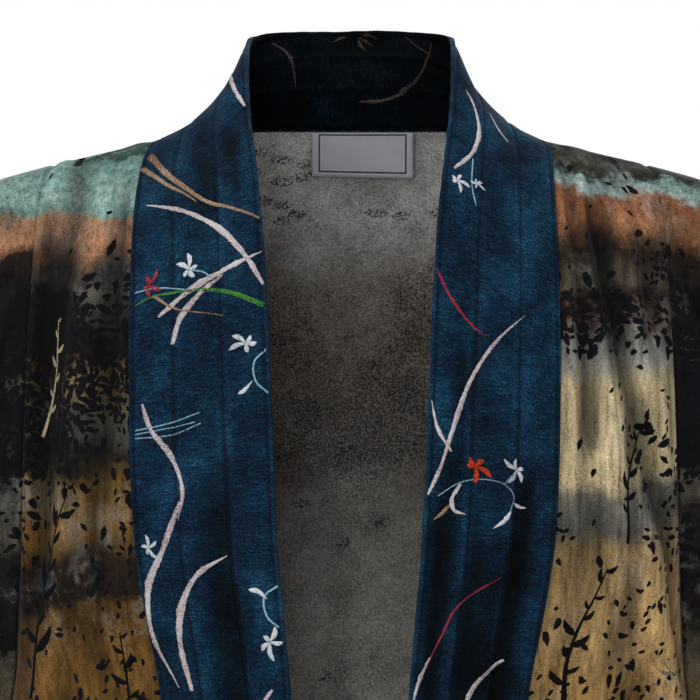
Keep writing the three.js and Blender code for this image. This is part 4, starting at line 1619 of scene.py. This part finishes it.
@dataclass
class NeckBand:
    """Half of the neck band, doubled velvet over an interlining and stitched lengthwise in channels.

    Attributes:
        side: The wearer's side.
        finish: The dress's finishes.
        width: Its width in millimetres.
        neck_hollow: How far it bows in behind the neck.
        crown: How far it bows out in front.
        wall: The doubled cloth.
        rounding: The radius of its folded edges.
        sharp: The angle in degrees from which an edge is rounded.
        lift: How far the print lies over it.
        margin: How near the print comes to its edges.
        stitch_pitch: The distance between stitches.
        stitch: How much of a stitch shows.
        fine_row: The distance between rows of points down to the waist.
        coarse_row: The distance between rows under it.
        sheet: Its outer face.
    """

    side: Side
    finish: Finish
    width: float = 104.5
    neck_hollow: float = 11.0
    crown: float = 3.0
    wall: float = 3.9
    rounding: float = 1.3
    sharp: float = 55.0
    lift: float = 0.22
    margin: float = 1.6
    stitch_pitch: float = 3.6
    stitch: float = 2.5
    fine_row: float = 3.0
    coarse_row: float = 8.0
    sheet: Sheet = field(init=False)

    def __post_init__(self) -> None:
        """Lays out the outer face."""
        self.sheet = self.lay_out()

    @property
    def node(self) -> str:
        """Returns the name of its solid."""
        return f"neck_band_{self.side.word}"

    def columns(self) -> np.ndarray:
        """Lays out the band's columns, which crowd at its edges and stitched lines.

        Returns:
            Their distances from the band's seam.
        """
        near = [0.0, 0.9, 1.9, self.width - 1.9, self.width - 0.9, self.width]
        for line in STITCHED_LINES:
            near.extend(line + step for step in (-3.4, -1.2, 0.0, 1.2, 3.4))
        open_cloth = [v for v in np.arange(0, self.width, 4.6) if min(abs(v - n) for n in near) > 2.2]
        columns = sorted(v for v in (*near, *open_cloth) if 0 <= v <= self.width)
        kept = [columns[0]]
        for value in columns[1:]:
            if value - kept[-1] > 0.6:
                kept.append(value)
        return np.array(kept)

    def lay_out(self) -> Sheet:
        """Lays out the band's outer face, from the centre back over the shoulder to the hem.

        Returns:
            The sheet, with its folds and stitched channels.
        """
        levels = body_levels(self.fine_row, self.coarse_row, neck=True)
        columns = self.columns()
        across = columns / self.width
        seam = LINES.front_seam(levels, self.side)
        free = LINES.free(levels)
        points = mix(seam[:, None], free[:, None], across[None, :, None])
        down = run(points[:, len(columns) // 2])
        shoulder = float(np.interp(0.0, levels, down))
        sheet = Sheet(points, columns, down - shoulder, -1)
        normals = sheet.normals()
        normals[0, :, 0] = 0.0
        level = np.broadcast_to(levels[:, None], points.shape[:2])
        share = np.broadcast_to(across[None, :], points.shape[:2])
        distance = share * self.width
        width = np.linalg.norm(free - seam, axis=1)[:, None] * np.ones_like(share)
        bow = mix(-self.neck_hollow, self.crown, smooth((level + 0.5) / 4))
        heights = bow * np.sin(np.pi * share**0.8)
        folds = calm(share) * fold_heights(BAND_FOLDS[self.side], share, width, -points[..., 2])
        fine = calm(share) * fold_heights(BAND_CREASES[self.side], share, width, -points[..., 2])
        fine += calm(share) * ripples(distance, down[:, None] + 0 * distance, 0.9, 23 + self.side.value)
        heights += folds + fine + 1.1 * smooth(distance / 2.0)
        lengthwise = np.broadcast_to((down - shoulder)[:, None], distance.shape)
        heights += channels(distance, lengthwise, self.side)
        moved = points + unit(normals) * heights[..., None]
        # Painted shade in the band's folds and creases, darker still in each stitched groove, with a
        # painted highlight beside it
        lie = np.tanh((folds + 1.8 * fine) / 6.0)
        for line in STITCHED_LINES:
            lie = lie - 0.75 * np.exp(-(((distance - line) / 1.1) ** 2)) + 0.3 * np.exp(
                -(((distance - line - 2.8) / 1.4) ** 2)
            )
        raised = Sheet(moved, columns, down - shoulder, -1, lie=np.clip(lie, -1.0, 1.0))
        return raised if self.side is Side.LEFT else raised.mirrored()

    def laid(self, motifs: dict[Side, tuple[Stroke, ...]], inside: bool = False) -> list[Stroke]:
        """Lays motifs of the front view on this half of the band.

        Args:
            motifs: The motifs of both halves.
            inside: Whether they lie on its inside.

        Returns:
            Strokes with their paths across and along the band.
        """
        chosen = motifs[self.side]
        return [replace(stroke, path=self.sheet.spots(np.array(stroke.path), inside)) for stroke in chosen]

    def strokes(self) -> list[Stroke]:
        """Repeats the printed motifs down the band.

        Returns:
            Strokes with their paths across and along the band.
        """
        first, last = self.sheet.down[0] + 5, self.sheet.down[-1] - 7
        pattern = self.laid(BAND_TWIGS)
        for tone, centre, radius, turn in BAND_BLOSSOMS[self.side]:
            pattern.extend(petals(tone, self.sheet.spots(np.array([centre]))[0], radius, turn))
        strokes = []
        for start in (-BAND_REPEAT, 0.0, BAND_REPEAT, 2 * BAND_REPEAT):
            for stroke in pattern:
                moved = stroke.path + np.array([0.0, start])
                shown = start >= 0 or moved[:, 1].max() < BEHIND_SHOULDER
                if shown and moved[:, 1].min() > first and moved[:, 1].max() < last:
                    moved[:, 0] = np.clip(moved[:, 0], self.margin, self.width - self.margin)
                    strokes.append(replace(stroke, path=moved))
        return strokes

    def stitches(self) -> Object:
        """Sews the rows of topstitching, each stitch a short thread sunk into its groove.

        Returns:
            All the band's stitches as one piece.
        """
        strokes = []
        for line in STITCHED_LINES:
            for start in np.arange(self.sheet.down[0] + 3, self.sheet.down[-1] - 6, self.stitch_pitch):
                thread = ((line, start), (line, start + 1.2), (line, start + self.stitch))
                strokes.append(Stroke(Tone.INK, Outline.LINE, 0.7, thread))
        return print_object(f"{self.node}_stitches", self.sheet, strokes, self.finish.thread, 0.1)

    def build(self) -> list[Object]:
        """Builds the band, its print and its stitches.

        Returns:
            The band's cloth, and then what lies on it.
        """
        # The band's inside takes the near-black copy of its velvet, painted shade
        band = cloth_object(
            f"{self.node}_cloth", self.sheet, [self.finish.band, self.finish.band_inside_painted_shade], self.wall
        )
        rounding = band.modifiers.new("rounding", "BEVEL")
        rounding.width = self.rounding * MM
        rounding.segments = 3
        rounding.limit_method = "ANGLE"
        rounding.angle_limit = math.radians(self.sharp)
        extras = print_all(f"{self.node}_print", self.sheet, self.strokes(), self.finish, self.lift)
        inside = self.laid(NAPE_TWIGS, inside=True)
        nape = print_all(f"{self.node}_nape", self.sheet, inside, self.finish, -self.wall - self.lift)
        extras = [self.stitches(), *extras, *nape]
        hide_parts(self.node)
        return dressed([band, *extras])


@dataclass(frozen=True)
class Panel:
    """A printed panel of the dress, one layer of velvet.

    Attributes:
        name: Its name.
        flat: The width and length that it is cut to, in metres. Not used.
        area: The area of its cut, in square metres. Not used.
        rests_on: The pieces that carry it. Not used.
        sprays: The leaf sprays printed on it.
        wall: The cloth, in millimetres.
        lift: How far the sprays lie over it.
        fine_row: The distance between rows of points down to the waist.
        coarse_row: The distance between rows under it.
    """

    name: str
    flat: tuple[float, float]
    area: float
    rests_on: tuple[str, ...]
    sprays: tuple[Spray, ...]
    wall: float = 1.8
    lift: float = 0.2
    fine_row: float = 3.6
    coarse_row: float = 9.0

    def lay_out(self) -> Sheet:
        """Lays out the panel's outer face, which each kind of panel does its own way."""
        raise NotImplementedError

    def build(self, outside: Material, finish: Finish) -> list[Object]:
        """Builds the panel.

        Args:
            outside: Its print.
            finish: The dress's finishes.

        Returns:
            The panel and its sprays.
        """
        sheet = self.lay_out()
        cloth = cloth_object(f"{self.name}_cloth", sheet, [outside, finish.wrong_side], self.wall)
        strokes = [stroke for spray in self.sprays for stroke in spray.strokes()]
        extras = print_all(f"{self.name}_print", sheet, strokes, finish, self.lift)
        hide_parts(self.name)
        return dressed([cloth, *extras])


@dataclass(frozen=True)
class Front(Panel):
    """A front, from the neck band's seam to the armhole and the side seam.

    Attributes:
        side: The wearer's side.
        columns: How many steps of points run across it.
        cloth_width: Its width at the waist in millimetres.
    """

    side: Side = Side.LEFT
    columns: int = 44
    cloth_width: float = 115.0

    def lay_out(self) -> Sheet:
        """Lays out the front's outer face.

        Returns:
            The sheet, with its folds.
        """
        levels = body_levels(self.fine_row, self.coarse_row)
        across = graded(self.columns)
        seam = LINES.front_seam(levels, self.side)
        edge = LINES.side("fore", levels)
        reach = edge - seam
        length = np.linalg.norm(reach, axis=1, keepdims=True)
        off_band = unit(seam - LINES.free(levels)) * length
        leaving = mix(reach, off_band, smooth(levels / 4)[:, None]) * 0.36
        turn = LINES.turn(levels)
        arriving = np.stack([np.cos(turn), np.sin(turn), np.zeros_like(turn)], axis=1) * 0.36 * length
        t = across[None, :, None]
        corners = [p[:, None, :] for p in (seam, seam + leaving, edge - arriving, edge)]
        points = (
            corners[0] * (1 - t) ** 3
            + corners[1] * 3 * t * (1 - t) ** 2
            + corners[2] * 3 * t**2 * (1 - t)
            + corners[3] * t**3
        )
        straight = corners[0] * (1 - t) + corners[3] * t
        ridge = (1 - smooth(levels / 0.9))[:, None, None] ** 2
        points = mix(points, straight, ridge)
        sheet = Sheet(points, across * self.cloth_width, run(points[:, len(across) // 2]), 1)
        drop = -points[..., 2]
        width = np.broadcast_to(length, drop.shape)
        share = np.broadcast_to(across[None, :], drop.shape)
        free = calm(share) * calm(1 - share)
        folds = free * fold_heights(FRONT_FOLDS[self.side], share, width, drop)
        fine = free * fold_heights(FRONT_CREASES[self.side], share, width, drop)
        fine += free * ripples(share * width, drop, 1.5, 11 + self.side.value)
        heights = folds + fine + seam_dip(share * width) + seam_dip(
            (1 - share) * width
        ) + hem_line(HEM_DROP - drop)
        # Fine creases get more painted shade and highlight than their height alone gives
        raised = sheet.raised(heights, folds + 2.4 * fine, deep=5.2)
        return raised if self.side is Side.LEFT else raised.mirrored()


@dataclass(frozen=True)
class Back(Panel):
    """The whole back, with the shoulder slope and the neck curve.

    Attributes:
        neck_steps: How many steps of points run from its middle to the neck's corner.
        side_steps: How many run from there to the side.
        fine_row: The distance between rows of points down to the waist.
    """

    neck_steps: int = 44
    side_steps: int = 28
    fine_row: float = 4.4

    def lay_out(self) -> Sheet:
        """Lays out the back's outer face, from the right side to the left.

        Returns:
            The sheet, with its folds.
        """
        levels = body_levels(self.fine_row, self.coarse_row)
        neck_steps, side_steps = self.neck_steps, self.side_steps
        over = np.concatenate(
            [np.linspace(0.25, 0.5, neck_steps, endpoint=False), np.linspace(0.5, 0.75, side_steps + 1)]
        ) * 4
        neck_levels = np.linspace(-NECK_ROWS, 0, neck_steps, endpoint=False)
        ridge_share = np.linspace(0, 1, side_steps + 1)[:, None]
        corner = LINES.seam(np.array([0.0]))
        ridge = mix(corner, LINES.side("aft", np.array([0.0])), ridge_share)
        top_edge = np.concatenate([LINES.seam(neck_levels), ridge])

        def lines_across(level: np.ndarray) -> np.ndarray:
            """Follows the left half from the spine to the side.

            Args:
                level: The levels to follow.

            Returns:
                A row of points for each level.
            """
            nape, spine = LINES.body("nape", level), LINES.body("spine", level)
            edge, turn = LINES.side("aft", level), LINES.turn(level)
            reach = np.linalg.norm(edge - nape, axis=1, keepdims=True)
            onward = edge + np.stack([np.cos(turn), -np.sin(turn), np.zeros_like(turn)], axis=1) * reach
            mirror = nape * np.array([-1.0, 1.0, 1.0])
            rows = zip(mirror, spine, nape, edge, onward)
            return np.array([spline(np.array(row), over) for row in rows])

        hold = ((1 - smooth(levels / 4)) ** 2)[:, None, None]
        left = lines_across(levels) + (top_edge - lines_across(np.array([0.0]))[0])[None] * hold
        right = left[:, :0:-1] * np.array([-1.0, 1.0, 1.0])
        points = np.concatenate([right, left], axis=1)
        middle = neck_steps + side_steps
        down = run(points[:, middle])
        across = run(points[len(levels) // 3])
        sheet = Sheet(points, across - across[middle], down, -1)
        half = points[:, -1:, 0]
        drop = -points[..., 2]
        share = points[..., 0] / half
        width = np.broadcast_to(half, drop.shape)
        side_share = np.abs(np.arange(-middle, middle + 1))[None, :] / middle
        free = calm(1 - np.broadcast_to(side_share, drop.shape))
        folds = free * fold_heights(BACK_FOLDS, share, width, drop)
        fine = free * fold_heights(BACK_CREASES, share, width, drop)
        fine += free * ripples(points[..., 0], drop, 1.6, 3) * smooth(drop / 80)
        heights = folds + fine + seam_dip((1 - np.abs(share)) * width) + hem_line(HEM_DROP - drop)
        # Fine creases get more painted shade and highlight than their height alone gives
        return sheet.raised(heights, folds + 2.4 * fine, deep=9.0)


@dataclass(frozen=True)
class Sleeve(Panel):
    """A wide sleeve, cut in one piece with a fold at the top and a seam along the bottom.

    Attributes:
        side: The wearer's side.
        rings: How many rings of points run from the armhole to the cuff.
        rows: How many points run down each face.
        roundness: How full its section is, where 2 is an ellipse.
        ease: Over how many of its sections the armhole's shape fades.
        length: Its length in millimetres.
    """

    side: Side = Side.LEFT
    rings: int = 62
    rows: int = 76
    roundness: float = 2.5
    ease: float = 3.0
    length: float = 300.0

    def lay_out(self) -> Sheet:
        """Lays out the sleeve as a tube of rings from the armhole to the cuff.

        Returns:
            The sheet, with its folds.
        """
        last = len(SLEEVE_RINGS) - 1
        along = np.linspace(0.0, 1.0, self.rings + 1)
        levels = np.linspace(0, UNDERARM, self.rows)
        fore, aft = LINES.side("fore", levels), LINES.side("aft", levels)
        edges = np.concatenate([fore, aft[-2::-1]])
        front = np.concatenate([np.ones(len(fore)), -np.ones(len(aft) - 1)])
        height = fore[0, 2] - fore[-1, 2]
        down = (fore[0, 2] - edges[:, 2]) / height
        down[-1] = 0.0
        round_share = np.maximum(1 - np.abs(2 * down - 1) ** self.roundness, 0) ** (1 / self.roundness)

        def column(name: str) -> np.ndarray:
            """Follows a point of the sections along the sleeve.

            Args:
                name: The point's name in a section.

            Returns:
                A point for each ring.
            """
            line = np.array(
                [[getattr(r, name)[0], 0.0, getattr(r, name)[1]] for r in SLEEVE_RINGS], dtype=float
            )
            return spline(line, along * last)

        def amount(name: str) -> np.ndarray:
            """Follows a size of the sections along the sleeve.

            Args:
                name: The size's name in a section.

            Returns:
                A value for each ring, as a column.
            """
            return np.interp(
                along * last, np.arange(last + 1), [getattr(r, name) for r in SLEEVE_RINGS]
            )[:, None]

        top, bottom = column("top"), column("bottom")
        points = mix(top[:, None], bottom[:, None], down[None, :, None])
        depth = mix(amount("arm"), amount("hang"), down[None]) * round_share
        points[..., 1] = amount("lean") * round_share - front * depth
        hold = (1 - smooth(along * last / self.ease))[:, None, None]
        points = points + (edges - points[0])[None] * hold
        points[:, -1] = points[:, 0]
        girth = run(points[self.rings // 2])
        sheet = Sheet(points, girth, run((top + bottom) / 2), -1, closed=True)
        tall = np.linalg.norm(top - bottom, axis=1)[:, None]
        share = np.broadcast_to(down[None], points.shape[:2])
        length = np.broadcast_to(along[:, None], points.shape[:2])
        free = calm(length) * calm(share) * calm(1 - share)
        folds = np.zeros_like(length)
        for face, sign in (("front", 1), ("back", -1)):
            for fold in SLEEVE_FOLDS[(self.side, face)]:
                run_share = (length - fold.top) / (fold.bottom - fold.top)
                away = (share - mix(fold.start, fold.end, run_share)) * tall
                lifted = fold.heights(run_share, away, fold.bottom > 1)
                folds += np.where(front[None] == sign, free * lifted, 0.0)
        fine = free * ripples(girth[None] + 0 * length, length * self.length, 1.5, 31 + self.side.value)
        heights = folds + fine + seam_dip(length * self.length) + hem_line((1 - length) * self.length)
        # Fine creases get more painted shade and highlight than their height alone gives
        raised = sheet.raised(heights, folds + 2.2 * fine, deep=7.5)
        return raised if self.side is Side.LEFT else raised.mirrored()


# Sprays by their place across and along each panel. A front runs from the band's seam to its side
FRONT_SPRAYS = {
    Side.RIGHT: (
        Spray(Tone.INK, (84, 455), (62, 285), 16, 13, 26),
        Spray(Tone.INK, (40, 560), (20, 400), -10, 11, 20),
        Spray(Tone.SAND, (100, 250), (84, 160), -8, 7, 15),
        Spray(Tone.INK, (70, 760), (96, 600), -14, 13, 26),
        Spray(Tone.SAND, (22, 880), (44, 740), 10, 10, 19),
        Spray(Tone.INK, (92, 1080), (66, 900), 14, 13, 26),
        Spray(Tone.INK, (26, 1200), (40, 1040), -12, 12, 24),
    ),
    Side.LEFT: (
        Spray(Tone.INK, (60, 330), (88, 235), -10, 9, 17),
        Spray(Tone.INK, (20, 470), (44, 350), -10, 10, 19),
        Spray(Tone.SAND, (98, 520), (82, 420), 8, 8, 16),
        Spray(Tone.INK, (40, 720), (22, 570), 12, 12, 24),
        Spray(Tone.SAND, (90, 850), (70, 720), -10, 10, 20),
        Spray(Tone.INK, (30, 1010), (56, 860), -12, 12, 25),
        Spray(Tone.INK, (92, 1200), (70, 1040), 12, 12, 24),
    ),
}
# A sleeve runs round from the top of its front to the top of its back
SLEEVE_SPRAYS = {
    Side.RIGHT: (
        Spray(Tone.INK, (330, 70), (190, 110), 20, 12, 26),
        Spray(Tone.INK, (360, 200), (210, 230), -18, 12, 26),
        Spray(Tone.SAND, (150, 250), (60, 220), 10, 8, 17),
        Spray(Tone.INK, (520, 90), (660, 130), -18, 12, 26),
        Spray(Tone.INK, (500, 230), (640, 250), 16, 12, 24),
    ),
    Side.LEFT: (
        Spray(Tone.INK, (300, 60), (200, 40), 12, 9, 18),
        Spray(Tone.INK, (350, 150), (220, 190), -16, 12, 25),
        Spray(Tone.SAND, (170, 250), (70, 230), 10, 9, 18),
        Spray(Tone.INK, (510, 110), (650, 90), 18, 12, 26),
        Spray(Tone.INK, (520, 240), (660, 220), -14, 12, 24),
    ),
}
# The back runs from right to left of its middle
BACK_SPRAYS = (
    Spray(Tone.INK, (-170, 420), (-120, 250), 20, 14, 30),
    Spray(Tone.INK, (150, 480), (190, 300), -18, 14, 30),
    Spray(Tone.INK, (-20, 400), (30, 260), 14, 11, 24),
    Spray(Tone.SAND, (60, 230), (10, 130), -10, 9, 20),
    Spray(Tone.SAND, (-110, 620), (-60, 500), 12, 10, 22),
    Spray(Tone.INK, (100, 760), (60, 590), 18, 14, 30),
    Spray(Tone.INK, (-190, 880), (-150, 710), -18, 14, 30),
    Spray(Tone.SAND, (200, 920), (170, 790), 12, 10, 22),
    Spray(Tone.INK, (-30, 1010), (-80, 850), 16, 14, 30),
    Spray(Tone.INK, (130, 1180), (170, 1010), -18, 14, 30),
    Spray(Tone.INK, (-200, 1220), (-170, 1060), 16, 13, 28),
)


@dataclass(frozen=True)
class Label:
    """The woven label at the neck, bare but for a thin border line, by its sizes in millimetres."""

    finish: Finish
    width: float = 81.0
    height: float = 34.5
    off_centre: float = 10.0
    wall: float = 0.6
    inset_side: float = 6.0
    inset_top: float = 1.6
    inset_bottom: float = 4.2
    line: float = 1.1
    lift: float = 0.2

    def lay_out(self) -> Sheet:
        """Lays out the label, which hangs from the neck seam inside the back.

        Returns:
            The sheet, slightly curled.
        """
        across = np.linspace(0, self.width, 28)
        down = np.linspace(0, self.height, 14)
        levels = np.linspace(-NECK_ROWS, 0, 400)
        seam = LINES.seam(levels)
        x = self.off_centre - self.width / 2 + across
        y = np.interp(np.abs(x), seam[:, 0], seam[:, 1])
        z = np.interp(np.abs(x), seam[:, 0], seam[:, 2])
        share = down / self.height
        curl = 0.5 * np.sin(across / self.width * np.pi)[None] * share[:, None] ** 2
        points = np.stack(
            [
                np.broadcast_to(x[None], (len(down), len(across))),
                y[None] - 3.3 + 0.16 * down[:, None] + curl,
                z[None] - 1.4 - down[:, None] - 2.0 * share[:, None] * (across / self.width)[None],
            ],
            axis=-1,
        )
        return Sheet(points, across, down, 1, lie=np.zeros(points.shape[:2]))

    def build(self) -> list[Object]:
        """Builds the label and its border.

        Returns:
            The label's cloth and the border.
        """
        sheet = self.lay_out()
        label = cloth_object("label_cloth", sheet, [self.finish.label], self.wall)
        left, right = self.inset_side, self.width - self.inset_side
        top, bottom = self.inset_top, self.height - self.inset_bottom
        reach = self.line / 2
        sides = (
            ((left - reach, top), (right + reach, top)),
            ((left - reach, bottom), (right + reach, bottom)),
            ((left, top), (left, bottom)),
            ((right, top), (right, bottom)),
        )
        shape = []
        for start, end in sides:
            middle = ((start[0] + end[0]) / 2, (start[1] + end[1]) / 2)
            shape.append(Stroke(Tone.INK, Outline.LINE, self.line, (start, middle, end)))
        border = print_object("label_border", sheet, shape, self.finish.border, self.lift)
        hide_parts("label")
        return dressed([label, border])


@dataclass(frozen=True)
class Studio:
    """The pale floor, the soft lights and the camera of the photograph, in metres but for the sensor."""

    distance: float = 3.0
    front_plane: float = -0.12
    height: float = -0.158
    view_width: float = 0.525
    sensor: float = 36.0
    floor_level: float = -1.26
    floor_reach: float = 6.0

    def floor(self) -> None:
        """Lays the floor under the hem."""
        shape = bmesh.new()
        bmesh.ops.create_grid(shape, x_segments=1, y_segments=1, size=self.floor_reach)
        for vertex in shape.verts:
            vertex.co.z = self.floor_level
        mesh = bpy.data.meshes.new("floor")
        shape.to_mesh(mesh)
        shape.free()
        material, add = new_material("matt white studio floor")
        shader = add("BsdfPrincipled", {"Base Color": linear("#F4F4F4"), "Roughness": 0.9})
        add("OutputMaterial", {"Surface": shader})
        mesh.materials.append(material)
        put_in_scene("floor", mesh)

    def light(self, name: str, place: tuple[float, float, float], power: float, size: float) -> None:
        """Hangs a square soft light that faces the dress.

        Args:
            name: Its name.
            place: Where it hangs, in metres.
            power: Its power in watts.
            size: The length of its side in metres.
        """
        lamp = bpy.data.lights.new(name, "AREA")
        lamp.energy = power
        lamp.size = size
        holder = put_in_scene(name, lamp)
        holder.location = place
        aim = Vector((0.0, 0.0, -0.15)) - Vector(place)
        holder.rotation_euler = aim.to_track_quat("-Z", "Y").to_euler()

    def camera(self) -> None:
        """Sets the camera up as in the photograph."""
        lens = bpy.data.cameras.new("camera")
        lens.sensor_width = self.sensor
        lens.lens = self.sensor * self.distance / self.view_width
        lens.clip_end = 50.0
        holder = put_in_scene("camera", lens)
        holder.location = (0.0, self.front_plane - self.distance, self.height)
        holder.rotation_euler = (math.radians(90), 0.0, 0.0)
        bpy.context.scene.camera = holder

    def build(self) -> None:
        """Builds the studio."""
        self.camera()
        self.floor()
        self.light("front", (-0.4, -3.5, 0.1), 32.0, 1.0)
        self.light("key", (-1.7, -1.8, 1.5), 32.0, 1.2)
        self.light("fill", (1.9, -2.1, 0.6), 9.0, 1.6)
        self.light("top", (0.0, 0.2, 2.2), 22.0, 1.4)
        self.light("back", (0.8, 2.6, 1.0), 34.0, 1.8)
        world = bpy.data.worlds.new("studio")
        world.use_nodes = True
        world.node_tree.nodes.clear()
        add = partial(add_node, world.node_tree)
        # The air behind the dress is white, and lights it less than it shows
        seen = add("Background", {"Color": linear("#FFFFFF"), "Strength": 1.0})
        soft = add("Background", {"Color": linear("#F4F7FF"), "Strength": 0.34})
        path = add("LightPath")
        both = add("MixShader", [path.outputs["Is Camera Ray"], soft, seen])
        add("OutputWorld", {"Surface": both})
        bpy.context.scene.world = world
        bpy.context.scene.view_settings.view_transform = "Standard"


def main() -> None:
    """Builds the dress and its studio."""
    logging.basicConfig(level=logging.INFO, format="%(message)s")
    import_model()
    Studio().build()
    finish = Finish()
    back = Back("back", (0.66, 1.3), 0.81, ("neck_band_left", "neck_band_right"), BACK_SPRAYS)
    panels: list[tuple[Panel, Material]] = [(back, finish.night)]
    # Each sleeve takes darker bands than its front, partly dark print and partly painted shade at the sides
    for side, outside, cut in (
        (Side.LEFT, finish.morning, finish.dusk), (Side.RIGHT, finish.evening, finish.late)
    ):
        front, sleeve = f"front_{side.word}", f"sleeve_{side.word}"
        panels.append((Front(front, (0.19, 1.28), 0.22, ("back",), FRONT_SPRAYS[side], side=side), outside))
        carried = (front, "back")
        panels.append((Sleeve(sleeve, (0.87, 0.34), 0.24, carried, SLEEVE_SPRAYS[side], side=side), cut))
    for panel, outside in panels:
        for piece in panel.build(outside, finish):
            LOG.info("built %s", piece.name)
    for side in Side:
        for piece in NeckBand(side, finish).build():
            LOG.info("built %s", piece.name)
    for piece in Label(finish).build():
        LOG.info("built %s", piece.name)
    bpy.context.view_layer.update()


if __name__ == "__main__":
    main()
